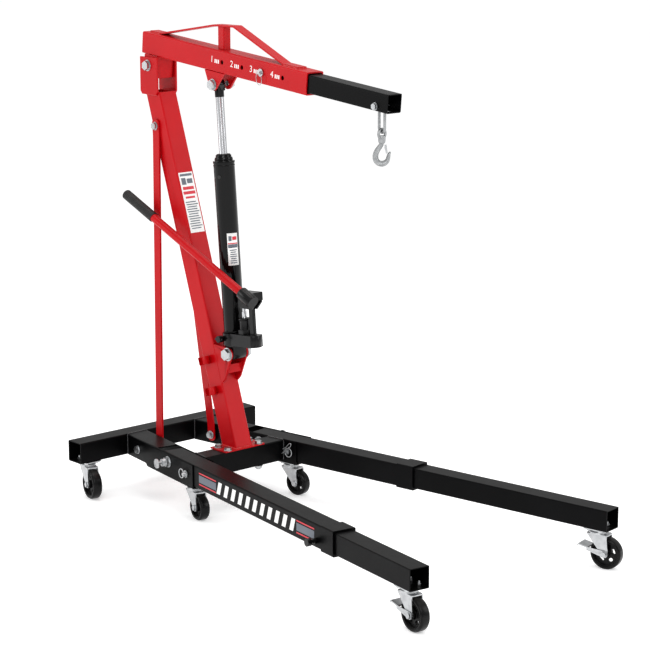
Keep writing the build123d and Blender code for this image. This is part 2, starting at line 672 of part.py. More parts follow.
for which in ("right", "left"):
    with BuildPart() as leg:
        add(leg_tube(which))
    save(leg, f"leg_tube_{which}")
    with BuildPart() as extension:
        add(leg_extension(which))
    save(extension, f"leg_extension_{which}")
    with BuildPart() as pull:
        add(plunger(which))
    save(pull, f"leg_plunger_{which}")
    with BuildPart() as pin:
        add(lock_pin(which))
    save(pin, f"lock_pin_{which}")

# ---- Boom ---------------------------------------------------------------------------------------
boom_stock = rail_tube(boom_section(0), BOOM_LENGTH, BOOM_WIDE, BOOM_HIGH, BOOM_WALL, 5.0)
with BuildPart() as boom_tube:
    add(boom_stock)
    with BuildSketch(boom_side(BOOM_WIDE)):
        with Locations(*[(u, 0) for u in HOLES_U]):
            Circle(PIN_R + RUNNING)
    extrude(amount=2 * BOOM_WIDE, mode=Mode.SUBTRACT)
save(boom_tube, "boom_tube")

t = radians(BOOM_TILT)
pivot_u = (PIVOT[0] - BOOM_REAR[0]) * cos(t) - (PIVOT[1] - BOOM_REAR[1]) * sin(t)
pivot_w = (PIVOT[0] - BOOM_REAR[0]) * sin(t) + (PIVOT[1] - BOOM_REAR[1]) * cos(t)
lug_low, lug_wall = pivot_w - 34, 5.0
with BuildPart() as boom_pivot_lug:
    add(side_plate([(pivot_u - 26, -BOOM_HIGH / 2), (pivot_u + 36, -BOOM_HIGH / 2),
                    (pivot_u + 36, lug_low), (pivot_u - 12, lug_low), (pivot_u - 26, lug_low + 16)],
                   -BOOM_WIDE / 2, BOOM_WIDE / 2, boom_side))
    with BuildSketch(boom_side(BOOM_WIDE / 2 - lug_wall)):
        with Locations((pivot_u, (lug_low - BOOM_HIGH / 2) / 2)):
            Rectangle(2 * (36 - lug_wall), 80)
    extrude(amount=BOOM_WIDE - 2 * lug_wall, mode=Mode.SUBTRACT)
    with BuildSketch(boom_side(BOOM_WIDE)):
        with Locations((pivot_u, pivot_w)):
            Circle(PIVOT_R + RUNNING)
    extrude(amount=2 * BOOM_WIDE, mode=Mode.SUBTRACT)
save(boom_pivot_lug, "boom_pivot_lug")

top = BOOM_HIGH / 2
OUTER = [(18, top + 5), (66, top + 5), (312, 98.5), (401, 107.5), (622, top + 5), (688, top + 5)]
INNER = [(688, top), (621, top), (400, 102.2), (313, 93.2), (67, top), (18, top)]
with BuildPart() as truss_strap:
    add(side_plate(OUTER + INNER, -STRAP_WIDE / 2, STRAP_WIDE / 2, boom_side))
save(truss_strap, "truss_strap")

post_stock = rail_tube(Plane(origin=at(POST_X, 0, BOOM_REAR[1] - 40), x_dir=(1, 0, 0),
                             z_dir=(0, 0, 1)), 120, POST, POST, 2.5, 2.0)
post_u = (POST_X - BOOM_REAR[0]) / cos(t)
with BuildPart() as truss_post:
    add(post_stock)
    split(bisect_by=Plane(origin=boom_side(0).from_local_coords((post_u, top, 0)),
                          z_dir=boom_side(0).y_dir), keep=Keep.TOP)
    strap_low = boom_side(0).from_local_coords((313, 93.2, 0))
    strap_run = boom_side(0).from_local_coords((400, 102.2, 0)) - strap_low
    split(bisect_by=Plane(origin=strap_low, x_dir=(0, 1, 0),
                          z_dir=Vector(-strap_run.Z, 0, strap_run.X)), keep=Keep.BOTTOM)
save(truss_post, "truss_post")

head_u = (RAM_HEAD[0] - BOOM_REAR[0]) * cos(t) - (RAM_HEAD[1] - BOOM_REAR[1]) * sin(t)
head_w = (RAM_HEAD[0] - BOOM_REAR[0]) * sin(t) + (RAM_HEAD[1] - BOOM_REAR[1]) * cos(t)
with BuildPart() as ram_lugs:
    for low in (-BOOM_WIDE / 2, BOOM_WIDE / 2 - CHEEK):
        with BuildSketch(boom_side(low + CHEEK)):
            with BuildLine():
                Polyline((head_u - 40, -top), (head_u + 46, -top), (head_u + 14, head_w - 10),
                         (head_u - 15, head_w - 8), close=True)
            make_face()
            with Locations((head_u, head_w)):
                Circle(17)
                Circle(PIVOT_R + CLEAR, mode=Mode.SUBTRACT)
        extrude(amount=CHEEK)
save(ram_lugs, "ram_lugs")

with BuildPart() as ram_top_bolts:
    for sign in (-1, 1):
        add(hex_bolt(at(RAM_HEAD[0], sign * BOOM_WIDE / 2, RAM_HEAD[1]),
                     at(RAM_HEAD[0], sign * (BOOM_WIDE / 2 - CHEEK), RAM_HEAD[1]),
                     PIVOT_R, nut=False))
save(ram_top_bolts, "ram_top_bolts")

arm_stock = rail_tube(boom_section(ARM_REAR), ARM_END - ARM_REAR, ARM, ARM, ARM_WALL)
with BuildPart() as boom_extension_tube:
    add(arm_stock)
    slot_rear, slot_front = PIN_U - REACH_OUT - 9, PIN_U + REACH_IN + 9
    with BuildSketch(boom_side(ARM)):
        with Locations(((slot_rear + slot_front) / 2, 0)):
            SlotOverall(slot_front - slot_rear, 2 * PIN_R + 1.2)
        with Locations((HOOK_U, HOOK_W)):
            Circle(HOOK_R + CLEAR)
    extrude(amount=2 * ARM, mode=Mode.SUBTRACT)
    with BuildSketch(boom_side(6.5)):
        with Locations((HOOK_U, -ARM / 2)):
            Rectangle(70, 14)
    extrude(amount=13, mode=Mode.SUBTRACT)
save(boom_extension_tube, "boom_extension_tube")

hook_at = boom_side(0).from_local_coords((HOOK_U, HOOK_W, 0))
with BuildPart() as hook_bolt:
    add(hex_bolt(hook_at + Vector(0, -ARM / 2, 0), hook_at + Vector(0, ARM / 2, 0), HOOK_R))
save(hook_bolt, "hook_bolt")

pin_at = boom_side(0).from_local_coords((PIN_U, 0, 0))
with BuildPart() as boom_pin:
    half = BOOM_WIDE / 2
    for y0, y1, radius in ((-half - 2, half + 10, PIN_R), (-half - 0.3, -half - 4.3, 11.0),
                           (-half - 4, -half - 12, 4.5)):
        add(rod(pin_at + Vector(0, y0, 0), pin_at + Vector(0, y1, 0), radius))
    ring = pin_at + Vector(-4, -half - 8.5, -12)
    with BuildSketch(Plane(origin=ring + Vector(0, 0, 12.6), x_dir=(0, 1, 0), z_dir=(1, 0, 0))):
        Circle(1.5)
    revolve(axis=Axis(ring, (0, 1, 0)), revolution_arc=360)
save(boom_pin, "boom_pin")

# ---- Hook: link on the bolt, swivel eye, hook, latch ----------------------------------------------
LINK_R, LINK_HALF = 4.0, 10.6           # wire radius, half the spacing of its two sides
LINK_TALL = 79.6                        # between the centre lines of its two ends
link_top = hook_at.Z + HOOK_R + LINK_R + 0.1 - LINK_HALF
link_low = link_top + 2 * LINK_HALF - LINK_TALL
with BuildPart() as hook_link:
    with BuildLine() as link_path:
        Line((hook_at.X - LINK_HALF, 0, link_low), (hook_at.X - LINK_HALF, 0, link_top))
        ThreePointArc((hook_at.X - LINK_HALF, 0, link_top), (hook_at.X, 0, link_top + LINK_HALF),
                      (hook_at.X + LINK_HALF, 0, link_top))
        Line((hook_at.X + LINK_HALF, 0, link_top), (hook_at.X + LINK_HALF, 0, link_low))
        ThreePointArc((hook_at.X + LINK_HALF, 0, link_low), (hook_at.X, 0, link_low - LINK_HALF),
                      (hook_at.X - LINK_HALF, 0, link_low))
    with BuildSketch(Plane(origin=(hook_at.X - LINK_HALF, 0, link_low), z_dir=(0, 0, 1))):
        Circle(LINK_R)
    sweep()
save(hook_link, "hook_link")

EYE_R, EYE_WIRE = 12.2, 3.9
eye_z = link_low - LINK_HALF + LINK_R + 0.1 + EYE_WIRE - EYE_R
neck_top, neck_low = eye_z - 5.0, eye_z - 20.0
with BuildPart() as hook_eye:
    with BuildSketch(Plane(origin=(hook_at.X, EYE_R, eye_z), x_dir=(0, 1, 0), z_dir=(0, 0, 1))):
        Circle(EYE_WIRE)
    revolve(axis=Axis((hook_at.X, 0, eye_z), (1, 0, 0)), revolution_arc=360)
    with BuildSketch(Plane.XY.offset(neck_low)):
        with Locations((hook_at.X, 0)):
            Circle(10)
    extrude(amount=neck_top - neck_low)
    with BuildSketch(Plane.XY.offset(neck_low + 6)):
        with Locations((hook_at.X, 0)):
            Circle(6.6)
    extrude(amount=14, mode=Mode.SUBTRACT)
    with BuildSketch(Plane.XY.offset(neck_low - 1)):
        with Locations((hook_at.X, 0)):
            Circle(4.5 + RUNNING)
    extrude(amount=10, mode=Mode.SUBTRACT)
save(hook_eye, "hook_eye")

HOOK_FACE = 44.0                        # the hook's plane, turned from +X towards +Y
hf = radians(HOOK_FACE)
across = Vector(cos(hf), sin(hf), 0)


def hook_point(h, z):
    """A point in the hook's own plane, measured from its neck line and the neck's top."""
    return Vector(hook_at.X, 0, neck_low + z) + across * h


BOWL_R, BODY_R, BOWL_Z = 18.0, 6.4, -43.0
LATCH_AT = (9.4, -12.5)                 # latch pin in the hook's plane
latch_plane = Plane(origin=hook_point(0, 0), x_dir=across, z_dir=across.cross(Vector(0, 0, 1)))
with BuildPart() as hook:
    with BuildSketch(Plane(origin=hook_point(0, 6.4), z_dir=(0, 0, 1))):
        Circle(6.2)
    extrude(amount=4.0)
    with BuildLine() as hook_path:
        Line(hook_point(0, 8), hook_point(0, -8))
        Spline(hook_point(0, -8), hook_point(-11, -22), hook_point(-BOWL_R, BOWL_Z),
               tangents=(Vector(0, 0, -1), Vector(0, 0, -1)))
        ThreePointArc(hook_point(-BOWL_R, BOWL_Z), hook_point(0, BOWL_Z - BOWL_R),
                      hook_point(BOWL_R, BOWL_Z))
        Line(hook_point(BOWL_R, BOWL_Z), hook_point(BOWL_R + 1, BOWL_Z + 7))
    with BuildSketch(Plane(origin=hook_point(0, 8), z_dir=(0, 0, -1))):
        Circle(4.5)
    sweep(path=hook_path.wires()[0])
    with BuildLine() as body_path:
        Spline(hook_point(0, -8), hook_point(-11, -22), hook_point(-BOWL_R, BOWL_Z),
               tangents=(Vector(0, 0, -1), Vector(0, 0, -1)))
        ThreePointArc(hook_point(-BOWL_R, BOWL_Z), hook_point(0, BOWL_Z - BOWL_R),
                      hook_point(BOWL_R, BOWL_Z))
    with BuildSketch(Plane(origin=hook_point(0, -8), z_dir=(0, 0, -1))):
        Circle(BODY_R)
    sweep(path=body_path.wires()[0])
    with BuildSketch(Plane(origin=hook_point(0, -0.4), z_dir=(0, 0, -1))):
        Circle(8)
    extrude(amount=8.2)
    with BuildSketch(latch_plane):
        with Locations(LATCH_AT):
            Circle(4.6)
        with Locations((LATCH_AT[0] - 5, LATCH_AT[1])):
            Rectangle(10, 7)
    extrude(amount=2.0, both=True)
    with BuildSketch(latch_plane):
        with Locations(LATCH_AT):
            Circle(1.5 + RUNNING)
    extrude(amount=12, both=True, mode=Mode.SUBTRACT)
save(hook, "hook")

with BuildPart() as hook_latch:
    for face in (-4.2, 2.4):
        with BuildSketch(latch_plane.offset(face)):
            with BuildLine():
                Polyline((7.0, -9.6), (12.6, -9.4), (15.4, -30.0), (11.4, -33.0), (6.8, -16.5),
                         close=True)
            make_face()
        extrude(amount=1.8)
    with BuildSketch(latch_plane.offset(-4.2)):
        with BuildLine():
            Polyline((14.2, -21.0), (11.4, -20.6), (11.2, -33.2), (15.6, -30.6), close=True)
        make_face()
    extrude(amount=8.4)
    with BuildSketch(latch_plane.offset(-4.2)):
        with Locations(LATCH_AT):
            Circle(1.5)
    extrude(amount=8.4)
save(hook_latch, "hook_latch")

# ---- Ram ----------------------------------------------------------------------------------------
ram_run = (RAM_HEAD[0] - RAM_OFFSET - RAM_FOOT[0], RAM_HEAD[1] - RAM_FOOT[1])
RAM_LENGTH = hypot(*ram_run)
ram_lean = atan2(-ram_run[0], ram_run[1])
RAM = Plane(origin=at(RAM_FOOT[0], 0, RAM_FOOT[1]), x_dir=(cos(ram_lean), 0, sin(ram_lean)),
            z_dir=(-sin(ram_lean), 0, cos(ram_lean)))
RAM_SIDE = Plane(origin=RAM.origin, x_dir=RAM.x_dir, z_dir=(0, -1, 0))


def ram_side(y):
    """Sketch plane (x, u) of the ram at a given Y, facing the right-hand side."""
    return RAM_SIDE.offset(-y)


def turned(steps, x=0.0, y=0.0, bore=None):
    """Stacked round steps (from, to, radius) along the ram, with an optional blind bore."""
    with BuildPart() as body:
        for low, high, radius in steps:
            with BuildSketch(RAM.offset(low)):
                with Locations((x, y)):
                    Circle(radius)
            extrude(amount=high - low)
        if bore:
            with BuildSketch(RAM.offset(bore[0])):
                with Locations((x, y)):
                    Circle(bore[2])
            extrude(amount=bore[1] - bore[0], mode=Mode.SUBTRACT)
    return body.part


with BuildPart() as ram_cylinder:
    add(turned([(BASE_TOP + 0.1, SHOULDER - 6, CYLINDER_R), (SHOULDER - 6, SHOULDER, 32.0),
                (SHOULDER, GLAND - 7, 26.0), (GLAND - 7, GLAND, 23.0)],
               bore=(BASE_TOP + 12, GLAND + 1, ROD_R + RUNNING)))
    add(turned([(BASE_TOP + 12, SHOULDER - 12, 20.0)]), mode=Mode.SUBTRACT)
save(ram_cylinder, "ram_cylinder")

with BuildPart() as ram_base:
    with BuildSketch(RAM.offset(BASE_LOW)):
        Circle(36)
        with Locations((PUMP_X - 6, PUMP_Y)):
            Rectangle(108, 46)
        with Locations((FULCRUM_X, PUMP_Y)):
            Circle(23)
    extrude(amount=BASE_TOP - BASE_LOW)
    with BuildSketch(ram_side(24)):
        Circle(19)
        with Locations((0, BASE_LOW / 2 + 0.5)):
            Rectangle(38, BASE_LOW + 1)
        Circle(FOOT_R + RUNNING, mode=Mode.SUBTRACT)
    extrude(amount=48)
    with BuildSketch(ram_side(PUMP_Y + 6)):
        with Locations((FULCRUM_X, (BASE_TOP + LEVER_U) / 2)):
            Rectangle(15, LEVER_U - BASE_TOP + 1)
        with Locations((FULCRUM_X, LEVER_U)):
            Circle(11)
            Circle(5 + RUNNING, mode=Mode.SUBTRACT)
    extrude(amount=12)
    with BuildSketch(ram_side(PUMP_Y + 60)):
        with Locations((-16, 46)):
            Circle(7 + RUNNING)
    extrude(amount=200, mode=Mode.SUBTRACT)
    add(turned([(BASE_TOP - 14, BASE_TOP + 1, 7.6)], PUMP_X, PUMP_Y), mode=Mode.SUBTRACT)
save(ram_base, "ram_base")

with BuildPart() as pump_body:
    with BuildSketch(RAM.offset(BASE_TOP + 0.1)):
        with Locations((PUMP_X, PUMP_Y)):
            RegularPolygon(21, 6)
    extrude(amount=14)
    add(turned([(BASE_TOP + 14, 104, 16.0), (104, 110, 18.0)], PUMP_X, PUMP_Y))
    add(turned([(BASE_TOP, 112, 7.5)], PUMP_X, PUMP_Y), mode=Mode.SUBTRACT)
save(pump_body, "pump_body")

with BuildPart() as pump_piston:
    add(turned([(BASE_TOP + 12, LEVER_U - 22, 7.5 - RUNNING), (LEVER_U - 22, LEVER_U - 9, 5.5)],
               PUMP_X, PUMP_Y))
    with BuildSketch(ram_side(PUMP_Y + 6)):
        with Locations((PUMP_X, LEVER_U)):
            RectangleRounded(22, 24, 4)
            Circle(7.2, mode=Mode.SUBTRACT)
    extrude(amount=12)
save(pump_piston, "pump_piston")

with BuildPart() as release_valve:
    for y0, y1, radius in ((-24, -38.5, 7.0), (-38.5, -52, 10.0)):
        with BuildSketch(ram_side(y0)):
            with Locations((-16, 46)):
                Circle(radius)
        extrude(amount=y0 - y1)
    with BuildSketch(ram_side(-45)):
        with Locations((-16, 46)):
            Rectangle(34, 4.5)
    extrude(amount=5)
save(release_valve, "release_valve")

with BuildPart() as ram_rod:
    add(turned([(BASE_TOP + 190, ROD_TOP, ROD_R), (BASE_TOP + 190, BASE_TOP + 214, 19.6)]))
save(ram_rod, "ram_rod")

with BuildPart() as ram_rod_end:
    add(turned([(ROD_TOP + 0.1, RAM_LENGTH - 8, 13.5)]))
    with BuildSketch(ram_side(11)):
        with Locations((0, RAM_LENGTH)):
            Circle(14)
        with Locations((0, RAM_LENGTH - 10)):
            Rectangle(27, 20)
    extrude(amount=22)
save(ram_rod_end, "ram_rod_end")

# ---- Pump handle ----------------------------------------------------------------------------------
grip_from = Vector(*HANDLE_DIR).normalized()
handle_at = at(*HANDLE_AT)
with BuildPart() as pump_handle:
    with BuildSketch(Plane(origin=handle_at - grip_from * 30, z_dir=grip_from)):
        Circle(HANDLE_R)
        Circle(HANDLE_R - 2.5, mode=Mode.SUBTRACT)
    extrude(amount=HANDLE_LENGTH)
save(pump_handle, "pump_handle")

with BuildPart() as handle_grip:
    with BuildSketch(Plane(origin=handle_at + grip_from * (HANDLE_LENGTH - 30 - GRIP_LENGTH),
                           z_dir=grip_from)):
        Circle(HANDLE_R + 3.0)
        Circle(HANDLE_R + 0.05, mode=Mode.SUBTRACT)
    extrude(amount=GRIP_LENGTH + 2)
save(handle_grip, "handle_grip")

lever = [(PUMP_X - 10, LEVER_U - 10), (FULCRUM_X + 12, LEVER_U - 12), (FULCRUM_X + 34, LEVER_U + 10),
         (FULCRUM_X + 38, LEVER_U + 40), (PUMP_X + 14, LEVER_U + 40), (PUMP_X - 10, LEVER_U + 10)]
with BuildPart() as handle_socket:
    for low in (PUMP_Y - 12, PUMP_Y + 7):
        with BuildSketch(ram_side(low + 5)):
            with BuildLine():
                Polyline(*lever, close=True)
            make_face()
        extrude(amount=5)
    with BuildSketch(ram_side(PUMP_Y + 12)):
        with Locations((FULCRUM_X + 16, LEVER_U + 28)):
            Rectangle(44, 24)
    extrude(amount=50)
    with BuildSketch(ram_side(PUMP_Y + 12)):
        with Locations((PUMP_X, LEVER_U)):
            Circle(4)
        with Locations((FULCRUM_X, LEVER_U)):
            Circle(5)
    extrude(amount=24)
    with BuildSketch(Plane(origin=handle_at - grip_from * 46, z_dir=grip_from)):
        Circle(HANDLE_R + 6.5)
    extrude(amount=52)
    with BuildSketch(Plane(origin=handle_at - grip_from * 30.5, z_dir=grip_from)):
        Circle(HANDLE_R + 0.05)
    extrude(amount=60, mode=Mode.SUBTRACT)
save(handle_socket, "handle_socket")
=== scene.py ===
import json
import math

import bpy
import numpy as np
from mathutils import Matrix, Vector


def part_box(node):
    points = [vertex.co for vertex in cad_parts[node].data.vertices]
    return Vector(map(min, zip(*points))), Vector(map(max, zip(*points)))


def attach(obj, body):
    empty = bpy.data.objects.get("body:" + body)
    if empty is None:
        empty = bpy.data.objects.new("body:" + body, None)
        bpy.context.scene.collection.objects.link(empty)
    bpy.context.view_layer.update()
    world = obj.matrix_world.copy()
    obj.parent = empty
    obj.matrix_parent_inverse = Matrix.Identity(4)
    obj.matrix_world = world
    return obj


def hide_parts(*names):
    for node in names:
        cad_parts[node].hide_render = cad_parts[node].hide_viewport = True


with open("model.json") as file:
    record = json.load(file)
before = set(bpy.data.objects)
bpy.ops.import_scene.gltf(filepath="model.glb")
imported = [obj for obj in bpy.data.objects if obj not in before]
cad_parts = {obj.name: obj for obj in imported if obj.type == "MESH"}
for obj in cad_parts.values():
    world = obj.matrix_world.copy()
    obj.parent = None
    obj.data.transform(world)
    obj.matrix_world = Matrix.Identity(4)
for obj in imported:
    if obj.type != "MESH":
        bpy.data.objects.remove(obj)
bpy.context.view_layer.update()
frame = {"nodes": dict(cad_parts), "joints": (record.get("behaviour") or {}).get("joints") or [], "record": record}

bl_info = {
    "name": "Folding shop crane",
    "version": (1, 0, 0),
    "blender": (4, 5, 0),
    "location": "3D View > Sidebar > Crane",
    "description": "Finishes and detail pieces for a folding hydraulic shop crane",
    "category": "Add Mesh",
}

JOINTS = {j["name"]: j for j in frame["joints"]}
NODES = frame["nodes"]
MM = 0.001


# ---- Directions and places read from the frame ------------------------------------------------


def vec(*v):
    """A point or direction as an array."""
    return np.array(v, float)


def unit(v):
    """A direction of length one."""
    v = np.asarray(v, float)
    return v / np.linalg.norm(v)


def axis_of(joint):
    """A joint's axis as a unit vector."""
    return unit(JOINTS[joint]["axis"])


def place_of(joint):
    """A hinge's position."""
    return vec(*JOINTS[joint]["pos_m"])


UP = vec(0, 0, 1)
BOOM_U = axis_of("boom_extend")
BOOM_W = unit(np.cross(BOOM_U, vec(0, 1, 0)))
BOOM_HIGH, BOOM_WIDE = 64 * MM, 60 * MM
BOOM_LOW, BOOM_TOP = (vec(*p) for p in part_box("boom_tube"))
BOOM_REAR = vec(BOOM_LOW[0] + BOOM_HIGH / 2 * BOOM_W[0], 0, BOOM_TOP[2] - BOOM_HIGH / 2 * BOOM_W[2])
RAM_UP = axis_of("ram_rod_slide")
RAM_FOOT = place_of("ram_tilt")
RAM_X = unit(np.cross(vec(0, 1, 0), RAM_UP))
MAST_LEAN = math.radians(18.6)
LEG_MOUTHS = {"right": 1141.0, "left": 834.0}    # where each leg tube ends, from the crossmember, mm
LEG_MIDDLE = 141.6                               # height of the leg tubes' axis, mm
REACH_HOLES = (375.0, 464.0, 550.0, 641.0)       # along the boom from its rear end, mm
MAST_UP = vec(-math.sin(MAST_LEAN), 0, math.cos(MAST_LEAN))
MAST_FRONT = vec(math.cos(MAST_LEAN), 0, math.sin(MAST_LEAN))
MAST_HALF = 63.5 * MM / 2
MAST_FOOT_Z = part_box("mast")[0][2]
MAST_FOOT = vec(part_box("mast")[1][0] - MAST_HALF / math.cos(MAST_LEAN), 0, MAST_FOOT_Z)


def boom_at(u, y, w):
    """A point on the boom: u along it from the rear end, y across, w up from its axis."""
    return BOOM_REAR + BOOM_U * u + vec(0, y, 0) + BOOM_W * w


def ram_at(x, y, u):
    """A point on the ram, measured from its foot pin."""
    return RAM_FOOT + RAM_X * x + vec(0, y, 0) + RAM_UP * u


def mast_at(front, y, along):
    """A point on the mast: front of its axis, across, and along it from the foot."""
    return MAST_FOOT + MAST_FRONT * front + vec(0, y, 0) + MAST_UP * along


# ---- Surfaces -----------------------------------------------------------------------------------


def grid_faces(rows, cols, wrap_rows, wrap_cols):
    """Quads of a rows by cols grid; a wrapped direction joins its last line to its first."""
    r = np.arange(rows if wrap_rows else rows - 1)
    k = np.arange(cols if wrap_cols else cols - 1)
    rr, kk = np.meshgrid(r, k, indexing="ij")
    r2, k2 = (rr + 1) % rows, (kk + 1) % cols
    corners = [rr * cols + kk, rr * cols + k2, r2 * cols + k2, r2 * cols + kk]
    return np.stack(corners, -1).reshape(-1, 4)


def mesh_object(name, parts, material, smooth=True, body=None):
    """One object from a list of (points, faces) shells; faces may be quads or longer."""
    points, faces, start = [], [], 0
    for p, f in parts:
        points.append(p)
        faces += [[int(i) + start for i in face] for face in f]
        start += len(p)
    data = bpy.data.meshes.new(name)
    data.from_pydata(np.concatenate(points).tolist(), [], faces)
    data.validate()
    data.polygons.foreach_set("use_smooth", np.full(len(data.polygons), smooth))
    data.materials.append(material)
    data.update()
    obj = bpy.data.objects.new(name, data)
    bpy.context.scene.collection.objects.link(obj)
    if body:
        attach(obj, body)
    return obj


def grid_shell(points, wrap_rows=False, wrap_cols=True, caps=True):
    """A grid (rows, cols, 3) as a shell; open row ends are closed with one face each."""
    rows, cols = points.shape[:2]
    faces = [list(f) for f in grid_faces(rows, cols, wrap_rows, wrap_cols)]
    if caps and not wrap_rows and wrap_cols:
        faces.append(list(range(cols))[::-1])
        faces.append(list(range((rows - 1) * cols, rows * cols)))
    return outward(points.reshape(-1, 3), faces)


def outward(points, faces):
    """The shell with its faces turned outwards: the sign of its enclosed volume decides."""
    volume = 0.0
    for f in faces:
        a = points[f[0]]
        b, c = points[f[1:-1]], points[f[2:]]
        volume += float(np.sum(np.cross(b, c) @ a)) / 6
    return points, (faces if volume > 0 else [f[::-1] for f in faces])


def lathe(profile, origin, axis, sides=64):
    """A turned shell: each (radius, height) is carried round the axis, r(cos a, sin a) + h axis."""
    axis = unit(axis)
    side = unit(np.cross(axis, vec(0.31, 0.57, 0.76)))
    other = np.cross(axis, side)
    a = np.linspace(0, 2 * np.pi, sides, endpoint=False)
    ring = np.cos(a)[:, None] * side + np.sin(a)[:, None] * other
    profile = np.asarray(profile, float)
    points = (np.asarray(origin) + profile[:, 0, None, None] * ring[None]
              + profile[:, 1, None, None] * axis)
    closed = abs(profile[0] - profile[-1]).max() < 1e-9
    if closed:
        return grid_shell(points[:-1], wrap_rows=True)
    return grid_shell(points)


def path_frames(path, closed):
    """Tangents and two normals carried along a path, the first normal kept nearest to UP."""
    ahead = np.roll(path, -1, 0) - np.roll(path, 1, 0)
    if not closed:
        ahead[0], ahead[-1] = path[1] - path[0], path[-1] - path[-2]
    tangent = ahead / np.linalg.norm(ahead, axis=1)[:, None]
    normal = np.zeros_like(tangent)
    guess = UP if abs(tangent[0] @ UP) < 0.9 else vec(0, 1, 0)
    for i, t in enumerate(tangent):
        guess = unit(guess - t * (guess @ t))
        normal[i] = guess
    return tangent, normal, np.cross(tangent, normal)


def tube(path, radius, sides=12, closed=False, flat=1.0):
    """A round bar on a path: path + r(s)(cos a N + flat sin a B), with closed ends."""
    path = np.asarray(path, float)
    radius = np.broadcast_to(np.asarray(radius, float), len(path))
    _, normal, binormal = path_frames(path, closed)
    a = np.linspace(0, 2 * np.pi, sides, endpoint=False)
    ring = (np.cos(a)[None, :, None] * normal[:, None] + flat * np.sin(a)[None, :, None]
            * binormal[:, None])
    return grid_shell(path[:, None] + radius[:, None, None] * ring, wrap_rows=closed)


def slab(centre, across, upward, out, wide, high, thick):
    """A thin plate: a rectangle in two directions, its front raised by thick along a third."""
    across, upward, out = unit(across), unit(upward), unit(out)
    corners = [(-1, -1), (1, -1), (1, 1), (-1, 1)]
    back = [centre + across * (i * wide / 2) + upward * (k * high / 2) for i, k in corners]
    front = [p + out * thick for p in back]
    faces = [[3, 2, 1, 0], [4, 5, 6, 7]] + [[i, (i + 1) % 4, (i + 1) % 4 + 4, i + 4]
                                            for i in range(4)]
    return outward(np.array(back + front), faces)


def prism(outline, out, thick):
    """A flat plate whose edge is an outline of points, raised by thick along out."""
    outline = np.asarray(outline, float)
    n = len(outline)
    faces = [list(range(n))[::-1], list(range(n, 2 * n))]
    faces += [[i, (i + 1) % n, (i + 1) % n + n, i + n] for i in range(n)]
    return outward(np.concatenate([outline, outline + unit(out) * thick]), faces)


def weld_bead(start, end, radius, pitch=3.2 * MM, wander=0.15):
    """A weld run: a low tube whose radius swells once per ripple, r(1 + wander sin)."""
    start, end = np.asarray(start, float), np.asarray(end, float)
    length = np.linalg.norm(end - start)
    n = max(8, int(length / pitch) * 6)
    s = np.linspace(0, 1, n)
    swell = 1 + wander * np.sin(2 * np.pi * s * length / pitch)
    taper = np.minimum(1, np.minimum(s, 1 - s) * length / (1.5 * radius) + 0.35)
    return tube(start + (end - start) * s[:, None], radius * swell * taper, 8)


# ---- Shader groups and finishes -----------------------------------------------------------------


def new_group(name, inputs, outputs):
    """An empty shader group with float, colour or vector sockets."""
    group = bpy.data.node_groups.new(name, "ShaderNodeTree")
    kinds = {"f": "NodeSocketFloat", "c": "NodeSocketColor", "v": "NodeSocketVector"}
    for key, (kind, value) in inputs.items():
        socket = group.interface.new_socket(name=key, in_out="INPUT", socket_type=kinds[kind])
        if value is not None:
            socket.default_value = value
    for key, kind in outputs.items():
        group.interface.new_socket(name=key, in_out="OUTPUT", socket_type=kinds[kind])
    return group, group.nodes.new("NodeGroupInput"), group.nodes.new("NodeGroupOutput")


def add_noise(tree, vector, scale, detail, rough=0.5):
    """A noise texture node fed by a vector socket."""
    noise = tree.nodes.new("ShaderNodeTexNoise")
    tree.links.new(vector, noise.inputs["Vector"])
    noise.inputs["Detail"].default_value = detail
    noise.inputs["Roughness"].default_value = rough
    if isinstance(scale, (int, float)):
        noise.inputs["Scale"].default_value = scale
    else:
        tree.links.new(scale, noise.inputs["Scale"])
    return noise


def add_math(tree, kind, a, b=None, clamp=False):
    """A math node on sockets or numbers."""
    node = tree.nodes.new("ShaderNodeMath")
    node.operation, node.use_clamp = kind, clamp
    for i, value in enumerate((a, b)):
        if value is None:
            continue
        if isinstance(value, (int, float)):
            node.inputs[i].default_value = value
        else:
            tree.links.new(value, node.inputs[i])
    return node.outputs[0]


def add_mix(tree, factor, a, b):
    """A colour mix node on sockets or colours."""
    node = tree.nodes.new("ShaderNodeMix")
    node.data_type = "RGBA"
    for key, value in ((0, factor), (6, a), (7, b)):
        if hasattr(value, "is_linked"):
            tree.links.new(value, node.inputs[key])
        else:
            node.inputs[key].default_value = value
    return node.outputs[2]


